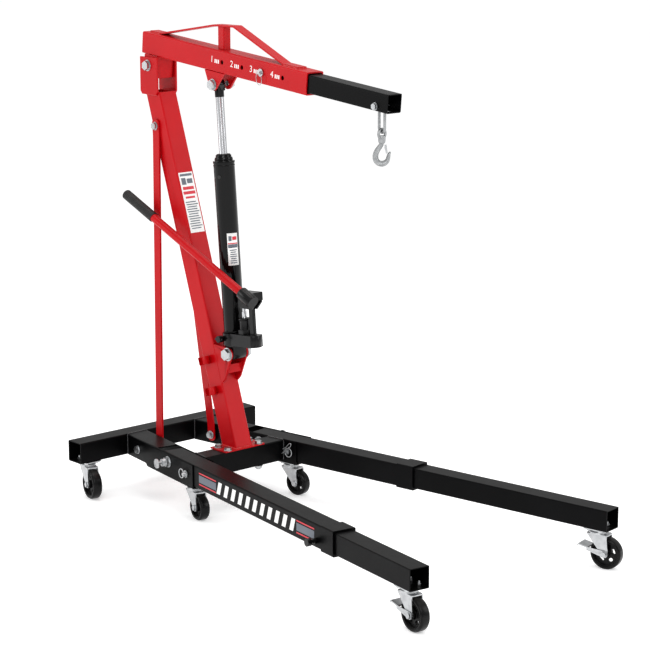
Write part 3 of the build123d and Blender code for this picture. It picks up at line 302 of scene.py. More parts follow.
def wear_group():
    """Broad mottling, settled dust on upward faces, fine grain height and rare scuffs."""
    inputs = {"Vector": ("v", None), "Base": ("c", (0.5, 0.5, 0.5, 1)),
              "Shade": ("c", (0.3, 0.3, 0.3, 1)), "Dust": ("c", (0.6, 0.58, 0.55, 1)),
              "Mottle Scale": ("f", 8.0), "Mottle Amount": ("f", 0.3),
              "Dust Amount": ("f", 0.05), "Grain Scale": ("f", 900.0),
              "Roughness Low": ("f", 0.25), "Roughness High": ("f", 0.4),
              "Scuff Amount": ("f", 0.1)}
    group, start, end = new_group("surface_wear", inputs,
                                  {"Color": "c", "Roughness": "f", "Height": "f", "Scuff": "f"})
    g = start.outputs
    mottle = add_noise(group, g["Vector"], g["Mottle Scale"], 5.0, 0.6).outputs[0]
    contrast = add_math(group, "MULTIPLY", add_math(group, "SUBTRACT", mottle, 0.42), 4.0, True)
    factor = add_math(group, "MULTIPLY", contrast, g["Mottle Amount"])
    colour = add_mix(group, factor, g["Base"], g["Shade"])
    geometry = group.nodes.new("ShaderNodeNewGeometry")
    split = group.nodes.new("ShaderNodeSeparateXYZ")
    group.links.new(geometry.outputs["Normal"], split.inputs[0])
    facing = add_math(group, "POWER", add_math(group, "MAXIMUM", split.outputs[2], 0.0), 4.0)
    patches = add_noise(group, g["Vector"], 26.0, 6.0, 0.65).outputs[0]
    dust = add_math(group, "MULTIPLY", facing, patches)
    colour = add_mix(group, add_math(group, "MULTIPLY", dust, g["Dust Amount"]), colour, g["Dust"])
    stretch = group.nodes.new("ShaderNodeVectorMath")
    stretch.operation = "MULTIPLY"
    stretch.inputs[1].default_value = (0.35, 1.0, 1.0)
    group.links.new(g["Vector"], stretch.inputs[0])
    spots = add_noise(group, stretch.outputs[0], 210.0, 3.0, 0.7).outputs[0]
    scuff = add_math(group, "MULTIPLY", add_math(group, "SUBTRACT", spots, 0.7), 12.0, True)
    scuff = add_math(group, "MULTIPLY", scuff, g["Scuff Amount"])
    grain = add_noise(group, g["Vector"], g["Grain Scale"], 2.0).outputs[0]
    span = add_math(group, "SUBTRACT", g["Roughness High"], g["Roughness Low"])
    rough = add_math(group, "ADD", g["Roughness Low"], add_math(group, "MULTIPLY", patches, span))
    rough = add_math(group, "ADD", rough, add_math(group, "MULTIPLY", dust, g["Dust Amount"]))
    group.links.new(colour, end.inputs["Color"])
    group.links.new(rough, end.inputs["Roughness"])
    group.links.new(grain, end.inputs["Height"])
    group.links.new(scuff, end.inputs["Scuff"])
    return group


WEAR = wear_group()


def rgb(r, g, b):
    """A colour with full alpha."""
    return (r, g, b, 1.0)


def finish(name, base, shade, rough=(0.25, 0.4), metal=0.0, coat=0.0, grain=(900.0, 0.05),
           mottle=(8.0, 0.3), dust=0.05, scuff=0.1, lines=None, scuff_colour=None, gloss=0.5):
    """One procedural finish: the wear group round a Principled shader; lines adds turning marks."""
    material = bpy.data.materials.new(name)
    material.use_nodes = True
    tree = material.node_tree
    shader = tree.nodes["Principled BSDF"]
    coords = tree.nodes.new("ShaderNodeTexCoord").outputs["Object"]
    wear = tree.nodes.new("ShaderNodeGroup")
    wear.node_tree = WEAR
    tree.links.new(coords, wear.inputs["Vector"])
    for key, value in (("Base", base), ("Shade", shade), ("Mottle Scale", mottle[0]),
                       ("Mottle Amount", mottle[1]), ("Dust Amount", dust),
                       ("Grain Scale", grain[0]), ("Roughness Low", rough[0]),
                       ("Roughness High", rough[1]), ("Scuff Amount", scuff)):
        wear.inputs[key].default_value = value
    colour = add_mix(tree, wear.outputs["Scuff"], wear.outputs["Color"],
                     scuff_colour or rgb(0.35, 0.33, 0.32))
    tree.links.new(colour, shader.inputs["Base Color"])
    tree.links.new(wear.outputs["Roughness"], shader.inputs["Roughness"])
    shader.inputs["Metallic"].default_value = metal
    shader.inputs["Coat Weight"].default_value = coat
    shader.inputs["Coat Roughness"].default_value = 0.12
    shader.inputs["Specular IOR Level"].default_value = gloss
    bump = tree.nodes.new("ShaderNodeBump")
    bump.inputs["Strength"].default_value = grain[1]
    bump.inputs["Distance"].default_value = 0.0004
    height = wear.outputs["Height"]
    if lines:
        direction, spacing, amount = lines
        dot = tree.nodes.new("ShaderNodeVectorMath")
        dot.operation = "DOT_PRODUCT"
        dot.inputs[1].default_value = tuple(direction)
        tree.links.new(coords, dot.inputs[0])
        wave = add_math(tree, "SINE", add_math(tree, "MULTIPLY", dot.outputs["Value"],
                                               2 * math.pi / spacing))
        height = add_math(tree, "ADD", height, add_math(tree, "MULTIPLY", wave, amount))
    tree.links.new(height, bump.inputs["Height"])
    tree.links.new(bump.outputs["Normal"], shader.inputs["Normal"])
    return material


def make_finishes(look):
    """Every finish of the crane, by its plain name."""
    red, black = tuple(look.red), tuple(look.black)
    deep = tuple(0.72 * v for v in red[:3]) + (1.0,)
    return {
        "red": finish("gloss_red_paint", red, deep, (0.3, 0.42), coat=0.05, gloss=0.25,
                      grain=(700, 0.06), mottle=(5, 0.35), dust=0.05, scuff=0.05,
                      scuff_colour=rgb(0.85, 0.25, 0.2)),
        "black": finish("satin_black_paint", black, rgb(0.005, 0.005, 0.006), (0.28, 0.42),
                        coat=0.0, gloss=0.13, grain=(850, 0.09), mottle=(6, 0.4), dust=0.02,
                        scuff=0.15, scuff_colour=rgb(0.07, 0.07, 0.075)),
        "gloss_black": finish("gloss_black_enamel", rgb(0.002, 0.002, 0.0022),
                              rgb(0.004, 0.004, 0.0045), (0.08, 0.14), coat=0.0,
                              gloss=0.28, grain=(420, 0.07), mottle=(9, 0.5), dust=0.04, scuff=0.1,
                              scuff_colour=rgb(0.12, 0.12, 0.13)),
        "cast_black": finish("cast_black_enamel", rgb(0.004, 0.004, 0.0045),
                             rgb(0.01, 0.01, 0.011), (0.16, 0.3), coat=0.0, gloss=0.35,
                             grain=(240, 0.35), mottle=(40, 0.5), dust=0.06, scuff=0.2,
                             scuff_colour=rgb(0.16, 0.16, 0.17)),
        "zinc": finish("bright_zinc_plate", rgb(0.52, 0.53, 0.54), rgb(0.36, 0.37, 0.38),
                       (0.24, 0.42), metal=1.0, grain=(1400, 0.12), mottle=(60, 0.55), dust=0.03,
                       scuff=0.25, scuff_colour=rgb(0.4, 0.4, 0.42)),
        "chrome": finish("hard_chrome_rod", rgb(0.55, 0.555, 0.57), rgb(0.46, 0.465, 0.48),
                         (0.16, 0.24), metal=1.0, grain=(1800, 0.02), mottle=(30, 0.3), dust=0.0,
                         scuff=0.05, lines=(RAM_UP, 0.0008, 0.05)),
        "forged": finish("galvanised_forging", rgb(0.4, 0.41, 0.415), rgb(0.26, 0.265, 0.27),
                         (0.34, 0.55), metal=0.85, grain=(330, 0.5), mottle=(90, 0.7), dust=0.1,
                         scuff=0.4, scuff_colour=rgb(0.3, 0.3, 0.3)),
        "wheel": finish("wheel_black_plastic", rgb(0.003, 0.003, 0.0035), rgb(0.009, 0.009, 0.009),
                        (0.2, 0.34), coat=0.0, gloss=0.25, grain=(600, 0.12),
                        mottle=(35, 0.4), dust=0.1, scuff=0.15, scuff_colour=rgb(0.12, 0.12, 0.12)),
        "grip": finish("moulded_grip_rubber", rgb(0.014, 0.014, 0.014), rgb(0.035, 0.035, 0.035),
                       (0.42, 0.6), grain=(800, 0.4), mottle=(40, 0.5), dust=0.1, scuff=0.2,
                       scuff_colour=rgb(0.08, 0.08, 0.08)),
        "decal_grey": finish("decal_grey_film", rgb(0.13, 0.15, 0.18), rgb(0.1, 0.11, 0.14),
                             (0.3, 0.42), grain=(1200, 0.03), mottle=(14, 0.4), scuff=0.1),
        "decal_red": finish("decal_red_film", rgb(0.62, 0.03, 0.05), rgb(0.5, 0.02, 0.04),
                            (0.3, 0.42), grain=(1200, 0.03), mottle=(14, 0.3), scuff=0.1),
        "white": finish("printed_white_film", rgb(0.83, 0.83, 0.82), rgb(0.74, 0.74, 0.72),
                        (0.35, 0.5), grain=(1200, 0.03), mottle=(18, 0.3), scuff=0.1,
                        scuff_colour=rgb(0.55, 0.55, 0.55)),
        "weld_black": finish("painted_weld_black", rgb(0.02, 0.02, 0.022),
                             rgb(0.05, 0.05, 0.055), (0.2, 0.34), coat=0.4, grain=(500, 0.3),
                             mottle=(90, 0.5), dust=0.1, scuff=0.2),
        "weld_red": finish("painted_weld_red", rgb(0.6, 0.02, 0.02), deep, (0.2, 0.34), coat=0.4,
                           grain=(500, 0.3), mottle=(90, 0.5), scuff=0.1,
                           scuff_colour=rgb(0.85, 0.3, 0.25)),
    }


FINISHES = {}

COATED = {
    "black": ["rear_crossmember", "leg_bracket_right", "leg_bracket_left", "mast_cross_tube",
              "leg_tube_right", "leg_tube_left", "leg_extension_right", "leg_extension_left",
              "boom_extension_tube"],
    "red": ["mast", "mast_base_plate", "mast_head_plates", "mast_braces", "ram_bracket",
            "handle_clips", "boom_tube", "boom_pivot_lug", "truss_strap", "truss_post",
            "ram_lugs", "pump_handle"],
    "gloss_black": ["ram_cylinder", "ram_rod_end"],
    "cast_black": ["ram_base", "pump_body", "release_valve", "handle_socket",
                   "leg_plunger_right", "leg_plunger_left"],
    "zinc": ["mast_base_bolts", "frame_bolts", "ram_top_bolts", "hook_bolt", "boom_pin",
             "caster_plates", "caster_plate_front_right", "caster_plate_front_left",
             "lock_pin_right", "lock_pin_left",
             "hook_latch", "brake_pedal_front_right", "brake_pedal_front_left"],
    "chrome": ["ram_rod", "pump_piston"],
    "grip": ["handle_grip"],
    "forged": ["hook_link", "hook_eye", "hook"],
}
CASTERS = ["rear_right", "rear_left", "middle_right", "middle_left", "front_right", "front_left"]
ROUND_STOCK = ["rear_crossmember", "mast_cross_tube", "leg_tube_right", "leg_tube_left",
               "leg_extension_right", "leg_extension_left", "boom_tube", "boom_extension_tube",
               "pump_handle", "ram_rod", "pump_piston", "handle_grip", "hook"]
SOFT_EDGES = {"black": 1.2, "red": 1.0, "gloss_black": 1.0, "cast_black": 1.4, "zinc": 0.5,
              "chrome": 0.4, "grip": 1.0, "forged": 0.8, "wheel": 1.2}


# ---- Sizes and colours a user would change ------------------------------------------------------


class CraneLook(bpy.types.PropertyGroup):
    """Colours of the two paints."""
    red: bpy.props.FloatVectorProperty(
        name="Lift paint", description="Colour of the mast, boom and braces", subtype="COLOR",
        size=4, min=0, max=1, default=(0.5, 0.002, 0.007, 1.0))
    black: bpy.props.FloatVectorProperty(
        name="Chassis paint", description="Colour of the legs and crossmember", subtype="COLOR",
        size=4, min=0, max=1, default=(0.0015, 0.0015, 0.0018, 1.0))


class CraneSizes(bpy.types.PropertyGroup):
    """Sizes of the detail pieces."""
    weld: bpy.props.FloatProperty(
        name="Weld size", description="Radius of a weld run", unit="LENGTH", default=0.0026)
    film: bpy.props.FloatProperty(
        name="Film thickness", description="Thickness of decals and labels", unit="LENGTH",
        default=0.00025)
    stripe: bpy.props.FloatProperty(
        name="Stripe band height", description="Height of a leg's stripe band", unit="LENGTH",
        default=0.036)
    bowl: bpy.props.FloatProperty(
        name="Hook bowl radius", description="Middle line radius of the hook's bowl",
        unit="LENGTH", default=0.0172)


class CraneStage(bpy.types.PropertyGroup):
    """Camera and light."""
    lens: bpy.props.FloatProperty(
        name="Focal length", description="Camera focal length in millimetres", default=118.4)
    light: bpy.props.FloatProperty(
        name="Key light", description="Power of the key softbox in watts", default=70.0)


# ---- Operators ----------------------------------------------------------------------------------


class CRANE_OT_finishes(bpy.types.Operator):
    """Give every CAD piece its finish and soften the edges of all but the round stock"""
    bl_idname = "crane.finishes"
    bl_label = "Finish the CAD pieces"

    def execute(self, context):
        FINISHES.update(make_finishes(context.scene.crane_look))
        coated = dict(COATED)
        coated["zinc"] = COATED["zinc"] + [f"caster_fork_{c}" for c in CASTERS]
        coated["wheel"] = [f"caster_wheel_{c}" for c in CASTERS]
        for key, nodes in coated.items():
            for node in nodes:
                piece = NODES[node]
                piece.data.materials.clear()
                piece.data.materials.append(FINISHES[key])
                weld = piece.modifiers.new("join", "WELD")
                weld.merge_threshold = 0.00001
                if node in ROUND_STOCK:
                    continue
                edge = piece.modifiers.new("edges", "BEVEL")
                edge.width = SOFT_EDGES[key] * MM
                edge.segments = 2
                edge.limit_method = "ANGLE"
                edge.angle_limit = math.radians(38)
                edge.use_clamp_overlap = True
                edge.harden_normals = True
        return {"FINISHED"}


# ---- Details made of their own pieces -----------------------------------------------------------

SHIFT = place_of("boom_lift")[0] + 5 * MM     # the rear crossmember's centre line
SPLAY = math.atan2(-axis_of("leg_extend_right")[1], axis_of("leg_extend_right")[0])


def at(x, y, z):
    """A point in millimetres from the crossmember's centre line."""
    return vec(x * MM + SHIFT, y * MM, z * MM)


def leg_point(side, s, v, z):
    """A point on a leg in millimetres: s along it, v inwards from the bracket's outer face."""
    c, k = math.cos(SPLAY), math.sin(SPLAY)
    y = -165 - s * k + v * c
    return at(31.75 + s * c + v * k, y if side == "right" else -y, z)


def beads(runs, radius):
    """Several weld runs as the shells of one piece."""
    return [weld_bead(a, b, radius) for a, b in runs]


def frame_runs(side):
    """Weld runs of a leg bracket: onto the crossmember and round the mast's cross tube."""
    sign = -1 if side == "right" else 1
    out_y, in_y = -165.0, -92.1
    if side == "left":
        out_y, in_y = 165.0, 92.1
    runs = [(at(32.2, out_y, 114), at(32.2, out_y, 174)),
            (at(32.2, in_y, 114), at(32.2, in_y, 174)),
            (at(32.0, out_y, 175.2), at(32.0, in_y, 175.2))]
    near, far = sign * 138.5, sign * 148.6
    runs += [(at(326, near, 112), at(326, near, 172)), (at(390, far, 112), at(390, far, 172)),
             (at(328, near, 173.4), at(388, far, 173.4))]
    return runs


def mast_runs():
    """Weld runs round the mast's foot and under its head plates."""
    front, back, half, z = 386.0, 318.0, 31.9, 177.6
    runs = [(at(front, -half, z), at(front, half, z)), (at(back, -half, z), at(back, half, z))]
    for y in (-half, half):
        runs.append((at(back + 1, y, z), at(front - 1, y, z)))
        runs.append((at(-20, 1.01 * y, 1189.2), at(32, 1.01 * y, 1189.2)))
    return runs


def strap_runs():
    """Weld runs along both ends of the strap on the boom's top and across the tip of each end."""
    runs = []
    for u0, u1 in ((19, 64), (624, 687)):
        for y in (-16.2, 16.2):
            runs.append((boom_at(u0 * MM, y * MM, 32.3 * MM), boom_at(u1 * MM, y * MM, 32.3 * MM)))
    for u in (17.6, 688.4):
        runs.append((boom_at(u * MM, -15 * MM, 32.6 * MM), boom_at(u * MM, 15 * MM, 32.6 * MM)))
    return runs


class CRANE_OT_welds(bpy.types.Operator):
    """Rippled weld runs on the chassis, mast and boom"""
    bl_idname = "crane.welds"
    bl_label = "Weld runs"

    def execute(self, context):
        r = context.scene.crane_sizes.weld
        for side in ("right", "left"):
            obj = mesh_object(f"frame_welds_{side}", beads(frame_runs(side), r),
                              FINISHES["weld_black"], body="frame")
        obj = mesh_object("mast_welds", beads(mast_runs(), r), FINISHES["weld_red"], body="frame")
        obj = mesh_object("boom_strap_welds", beads(strap_runs(), 0.8 * r), FINISHES["weld_red"],
                          body="boom")
        return {"FINISHED"}


def leg_panel(side, s, z, length, height, lift, slant=0.0):
    """A parallelogram of film on a leg's outer face, centred at s and z, leaning by slant."""
    def corner(i, k):
        return leg_point(side, s + i * length / 2 + k * slant / 2, 3.5, z + k * height / 2)
    out = leg_point(side, s, 0, z) - leg_point(side, s, 3.5, z)
    return prism([corner(-1, -1), corner(1, -1), corner(1, 1), corner(-1, 1)], out, lift)


class CRANE_OT_leg_decals(bpy.types.Operator):
    """Three-line stripe bands and slanted white bars on each leg's outer face"""
    bl_idname = "crane.leg_decals"
    bl_label = "Leg stripe bands"

    def execute(self, context):
        sizes = context.scene.crane_sizes
        film, band = sizes.film, sizes.stripe / MM
        for side, mouth in LEG_MOUTHS.items():
            last = mouth - 94
            rows = {"red": ("decal_red", [(0.46 * band, 0.11 * band), (-0.46 * band, 0.11 * band)]),
                    "grey": ("decal_grey", [(0.0, 0.6 * band)])}
            blocks = [(432, 530), (last - 88, last)]
            for key, (paint, lines) in rows.items():
                parts = [leg_panel(side, (a + b) / 2, LEG_MIDDLE + z, b - a, h, film)
                         for a, b in blocks for z, h in lines]
                obj = mesh_object(f"leg_stripe_{key}_{side}", parts, FINISHES[paint],
                                  smooth=False, body=f"leg_{side}")
            first, end = 548.0, last - 100
            places = np.arange(first, end, 39.0)
            parts = [leg_panel(side, s, LEG_MIDDLE, 19.0, band, film, slant=12.0) for s in places]
            obj = mesh_object(f"leg_bars_{side}", parts, FINISHES["white"], smooth=False,
                              body=f"leg_{side}")
        return {"FINISHED"}


def mast_panel(along, y, high, wide, lift, layer):
    """A rectangle of film on the mast's front face, on a layer above the one below it."""
    centre = mast_at(MAST_HALF + layer * lift, y * MM, along * MM)
    return slab(centre, (0, 1, 0), MAST_UP, MAST_FRONT, wide * MM, high * MM, lift)


class CRANE_OT_mast_label(bpy.types.Operator):
    """Plain panel with a red heading block and grey lines on the mast's front"""
    bl_idname = "crane.mast_label"
    bl_label = "Mast label"

    def execute(self, context):
        film = context.scene.crane_sizes.film
        centre, high, wide = 731.0, 182.0, 52.0
        panel = mesh_object("mast_label_panel", [mast_panel(centre, 0, high, wide, film, 0)],
                            FINISHES["white"], smooth=False, body="frame")
        top = centre + high / 2
        dark = [mast_panel(top - 8, 0, 7, 44, film, 1), mast_panel(top - 27, -12, 20, 16, film, 1),
                mast_panel(top - 27, 10, 14, 20, film, 1)]
        obj = mesh_object("mast_label_heading", dark, FINISHES["decal_grey"], smooth=False,
                          body="frame")
        red = [mast_panel(top - 48, 0, 9, 40, film, 1), mast_panel(top - 62, 0, 9, 44, film, 1),
               mast_panel(top - 76, 0, 6, 34, film, 1)]
        obj = mesh_object("mast_label_red_lines", red, FINISHES["decal_red"], smooth=False,
                          body="frame")
        rows = [mast_panel(top - 90 - 7.2 * i, (-2.5, 1.0, -1.0)[i % 3], 3.0,
                           (38, 42, 35)[i % 3], film, 1) for i in range(12)]
        obj = mesh_object("mast_label_lines", rows, FINISHES["decal_grey"], smooth=False,
                          body="frame")
        return {"FINISHED"}


def ram_patch(u0, u1, half, middle, radius, lift, steps=14):
    """Film bent round the cylinder: radius r over angles middle - half to middle + half."""
    a = np.radians(np.linspace(middle - half, middle + half, steps))
    inner = np.stack([radius * np.cos(a), radius * np.sin(a)], 1)
    outer = inner * (radius + lift) / radius
    loop = np.concatenate([inner, outer[::-1]])
    points = np.stack([[ram_at(x, y, u) for x, y in loop] for u in (u0, u1)])
    return grid_shell(points)


class CRANE_OT_ram_details(bpy.types.Operator):
    """Label, gland ring, seam rings and filler plug of the ram"""
    bl_idname = "crane.ram_details"
    bl_label = "Ram details"

    def execute(self, context):
        film = context.scene.crane_sizes.film
        radius, facing = 31.02 * MM, -17.0
        panel = mesh_object("ram_label_panel",
                            [ram_patch(0.262, 0.356, 31, facing, radius, film)],
                            FINISHES["white"], body="ram")
        layer = radius + film
        red = [ram_patch(0.3245, 0.3275, 28, facing, layer, film),
               ram_patch(0.336, 0.346, 13, facing + 10, layer, film)]
        obj = mesh_object("ram_label_red_lines", red, FINISHES["decal_red"], body="ram")
        rows = [ram_patch(0.268 + 0.0062 * i, 0.2708 + 0.0062 * i, 20 - 2 * (i % 3), facing, layer,
                          film) for i in range(7)]
        rows.append(ram_patch(0.334, 0.348, 8, facing - 15, layer, film))
        rows.append(ram_patch(0.3135, 0.3235, 28, facing, layer, film))
        obj = mesh_object("ram_label_lines", rows, FINISHES["decal_grey"], body="ram")
        rings = []
        for u, r, h in ((66, 31.0, 2.4), (552, 31.0, 2.4), (569, 26.0, 3.0)):
            ring = [(r - 1.5, u - h), (r + 0.7, u - 0.6 * h), (r + 1.1, u), (r + 0.7, u + 0.6 * h),
                    (r - 1.5, u + h), (r - 1.5, u - h)]
            rings.append(lathe(np.array(ring) * MM, RAM_FOOT, RAM_UP))
        wiper = [(12.4, 581.6), (19.5, 581.6), (20.5, 583.2), (19.5, 584.6), (14.5, 585.4),
                 (12.6, 584.2), (12.4, 581.6)]
        obj = mesh_object("ram_seam_rings", rings, FINISHES["gloss_black"], body="ram")
        obj = mesh_object("rod_wiper", [lathe(np.array(wiper) * MM, RAM_FOOT, RAM_UP)],
                          FINISHES["grip"], body="ram")
        plug = [(0, 0), (5.4, 0), (5.8, 1.0), (5.2, 2.2), (2.6, 2.8), (0, 2.9)]
        out = unit(RAM_X * 0.35 + vec(0, -0.94, 0))
        seat = ram_at(0, 0, 0.520) + out * 30.6 * MM
        obj = mesh_object("ram_filler_plug", [lathe(np.array(plug) * MM, seat, out, 24)],
                          FINISHES["grip"], body="ram")
        return {"FINISHED"}


class CRANE_OT_boom_marks(bpy.types.Operator):
    """White numerals and short bars beside the reach holes"""
    bl_idname = "crane.boom_marks"
    bl_label = "Reach numerals"

    def execute(self, context):
        white = FINISHES["white"]
        film = context.scene.crane_sizes.film
        for number, hole in enumerate(REACH_HOLES, 1):
            curve = bpy.data.curves.new(f"numeral_{number}", "FONT")
            curve.body = str(number)
            curve.size, curve.extrude = 0.026, film / 2
            curve.align_x, curve.align_y = "CENTER", "CENTER"
            text = bpy.data.objects.new("numeral_shape", curve)
            context.scene.collection.objects.link(text)
            context.view_layer.update()
            shape = bpy.data.meshes.new_from_object(text.evaluated_get(
                context.evaluated_depsgraph_get()))
            flat = np.zeros(len(shape.vertices) * 3)
            shape.vertices.foreach_get("co", flat)
            flat = flat.reshape(-1, 3)
            base = boom_at((hole - 45) * MM, -BOOM_WIDE / 2 - film / 2, 2 * MM)
            place = base + flat[:, :1] * BOOM_U + flat[:, 1:2] * BOOM_W - flat[:, 2:] * vec(0, 1, 0)
            shape.vertices.foreach_set("co", place.ravel())
            shape.materials.clear()
            shape.materials.append(white)
            shape.update()
            bpy.data.objects.remove(text)
            obj = bpy.data.objects.new(f"reach_numeral_{number}", shape)
            context.scene.collection.objects.link(obj)
            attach(obj, "boom")
            dashes = [slab(boom_at((hole - 30 + 7.5 * i) * MM, -BOOM_WIDE / 2, -0.5 * MM), BOOM_U,
                           BOOM_W, vec(0, -1, 0), 4.6 * MM, 11 * MM, film)
                      for i in range(3)]
            obj = mesh_object(f"reach_dashes_{number}", dashes, white, smooth=False, body="boom")
        return {"FINISHED"}


HOOK_FACE = math.radians(44)
NECK = place_of("hook_swivel")


def hook_at(h, z):
    """A point in the hook's own plane, h across it and z up from its neck, in millimetres."""
    return NECK + vec(math.cos(HOOK_FACE), math.sin(HOOK_FACE), 0) * h * MM + UP * z * MM


class CRANE_OT_hook(bpy.types.Operator):
    """Forged hook: a bar along a spline whose radius swells at the bowl and tapers to the tip"""
    bl_idname = "crane.hook"
    bl_label = "Forged hook"

    def execute(self, context):
        bowl = context.scene.crane_sizes.bowl / MM
        keys = [(0, -1, 6.2), (-1.5, -9, 6.8), (-7, -17, 7.4), (-13, -26, 8.0),
                (-16.8, -36, 8.3)]
        for a in range(190, 352, 12):
            turn = math.radians(a)
            keys.append((bowl * math.cos(turn), -43 + bowl * math.sin(turn),
                         8.4 if a < 290 else 8.4 - 0.035 * (a - 290)))
        keys += [(17.8, -40, 5.7), (19.3, -34.5, 4.8), (21.6, -30, 3.4)]
        keys = np.array(keys, float)
        chord = np.concatenate([[0], np.cumsum(np.linalg.norm(np.diff(keys[:, :2], axis=0),
                                                              axis=1))])
        t = np.linspace(0, chord[-1], 90)
        h, z, r = (np.interp(t, chord, keys[:, i]) for i in range(3))
        kernel = np.hanning(11) / np.hanning(11).sum()
        for line in (h, z, r):
            line[5:-5] = np.convolve(line, kernel, "valid")
        path = np.array([hook_at(i, k) for i, k in zip(h, z)])
        bar = tube(path, r * MM, 20, flat=0.86)
        tip = lathe(np.array([(0, -3.2), (2.2, -2.4), (3.2, -0.8), (3.3, 0.6), (0, 0.6)]) * MM,
                    path[-1], path[-2] - path[-1], 20)
        collar = np.array([(0, -3), (8.2, -3), (9.0, -1.5), (9.0, 2.0), (8.0, 3.6), (5.2, 4.4),
                           (5.2, 5.6), (0, 5.6)]) * MM
        hook = mesh_object("forged_hook", [bar, tip, lathe(collar, NECK - UP * 2 * MM, UP, 40)],
                           FINISHES["forged"], body=body_of("hook"))
        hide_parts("hook")
        return {"FINISHED"}


class CRANE_OT_grip(bpy.types.Operator):
    """Ribbed grip: radius r less a groove at every rib, rounded at both ends"""
    bl_idname = "crane.grip"
    bl_label = "Handle grip"

    def execute(self, context):
        start, direction = at(446, -50, 654), unit((-0.9029, -0.0681, 0.4242))
        t = np.linspace(424, 550, 379)
        wave = np.abs(np.sin(np.pi * (t - 424) / 6.3)) ** 0.6
        ribs = 14.0 + 1.3 * wave
        profile = [(12.55, 420), (14.6, 420), (15.3, 421.2), (15.3, 423)]
        profile += list(zip(ribs, t))
        profile += [(15.2, 551), (15.0, 553.5), (13.8, 555.6), (11.5, 556.7), (7, 557), (0, 557)]
        profile[0] = (0.0, 420)
        grip = mesh_object("ribbed_grip", [lathe(np.array(profile) * MM, start, direction, 56)],
                           FINISHES["grip"], body="pump_handle")
        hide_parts("handle_grip")
        return {"FINISHED"}


class CRANE_OT_pin_clip(bpy.types.Operator):
    """Hairpin clip through the left lock pin"""
    bl_idname = "crane.pin_clip"
    bl_label = "Hairpin clip"

    def execute(self, context):
        mid = leg_point("left", 364, 86.5, 140)
        along = axis_of("leg_extend_left")
        across = axis_of("lock_pin_pull_left")
        key = [(-9, 1.0), (0, 0.6), (9, 1.8), (14, 5.2), (21, 2.6), (30, 1.0), (37, 2.4),
               (40.5, 6.2), (38, 10.4), (31, 10.8), (22, 8.6), (14, 8.2), (9, 10.2), (2, 9.6)]
        key = np.array(key, float)
        s = np.linspace(0, len(key) - 1, 110)
        x, y = (np.interp(s, np.arange(len(key)), key[:, i]) for i in range(2))
        kernel = np.hanning(13) / np.hanning(13).sum()
        for line in (x, y):
            line[6:-6] = np.convolve(line, kernel, "valid")
        turn = math.radians(38)
        ahead = along * math.cos(turn) + UP * math.sin(turn)
        aside = UP * math.cos(turn) - along * math.sin(turn)
        path = mid + (ahead[None] * x[:, None] + aside[None] * y[:, None]) * MM
        clip = mesh_object("lock_pin_clip", [tube(path, 1.25 * MM, 10)], FINISHES["zinc"],
                           body="lock_pin_left")
        return {"FINISHED"}


class CRANE_OT_pin_loop(bpy.types.Operator):
    """Wire loop hanging from the boom pin's head: a stretched circle with a gap at the top"""
    bl_idname = "crane.pin_loop"
    bl_label = "Boom pin loop"

    def execute(self, context):
        low, high = (vec(*p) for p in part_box("boom_pin"))
        middle = (low + high) / 2
        top = vec(middle[0], low[1] + 3.2 * MM, middle[2])
        a = np.linspace(math.radians(96), math.radians(444), 80)
        wide, tall = 11.5 * MM, 17.5 * MM
        centre = top - UP * (tall - 1.0 * MM)
        path = centre + np.stack([wide * np.cos(a) - 2.0 * MM * np.sin(a), 0.0 * a,
                                  tall * np.sin(a)], 1)
        loop = mesh_object("boom_pin_loop", [tube(path, 1.0 * MM, 10)], FINISHES["zinc"],
                           body=body_of("boom_pin"))
        return {"FINISHED"}


class CRANE_OT_caster_details(bpy.types.Operator):
    """Grease ring under each caster plate, hub caps and two fine mould lines on each wheel"""
    bl_idname = "crane.caster_details"
    bl_label = "Caster details"

    def execute(self, context):
        for spot in CASTERS:
            pin, hub = place_of(f"caster_swivel_{spot}"), place_of(f"caster_roll_{spot}")
            axle = axis_of(f"caster_roll_{spot}")
            big = hub[2] * 1000
            crown = 97.0 if big > 40 else 84.0
            shells = []
            for face in (-1, 1):
                for r in (big - 4.2, big - 11.5):
                    edge = [(r - 0.6, 13.4), (r - 0.5, 14.15), (r, 14.45), (r + 0.5, 14.15),
                            (r + 0.6, 13.4), (r - 0.6, 13.4)]
                    shells.append(lathe(np.array(edge) * MM, hub, axle * face, 72))
                cap = [(6.2, 13.2), (9.6, 13.2), (9.8, 14.6), (8.6, 15.2), (6.2, 15.2), (6.2, 13.2)]
                shells.append(lathe(np.array(cap) * MM, hub, axle * face, 40))
            wheel = mesh_object(f"wheel_lines_{spot}", shells, FINISHES["wheel"],
                                body=body_of(f"caster_wheel_{spot}"))
            race = [(16.5, crown + 1.2), (19.5, crown + 1.0), (20.6, crown + 2.2),
                    (20.8, crown + 4.4), (19.6, crown + 5.3), (16.5, crown + 5.3),
                    (16.5, crown + 1.2)]
            floor_pin = vec(pin[0], pin[1], 0)
            obj = mesh_object(f"race_ring_{spot}", [lathe(np.array(race) * MM, floor_pin, UP, 56)],
                              FINISHES["zinc"], body=body_of(f"caster_fork_{spot}"))
        return {"FINISHED"}


def body_of(node):
    """The body that a node belongs to."""
    for body, members in frame["record"]["behaviour"]["bodies"].items():
        if node in members:
            return body
    raise KeyError(node)


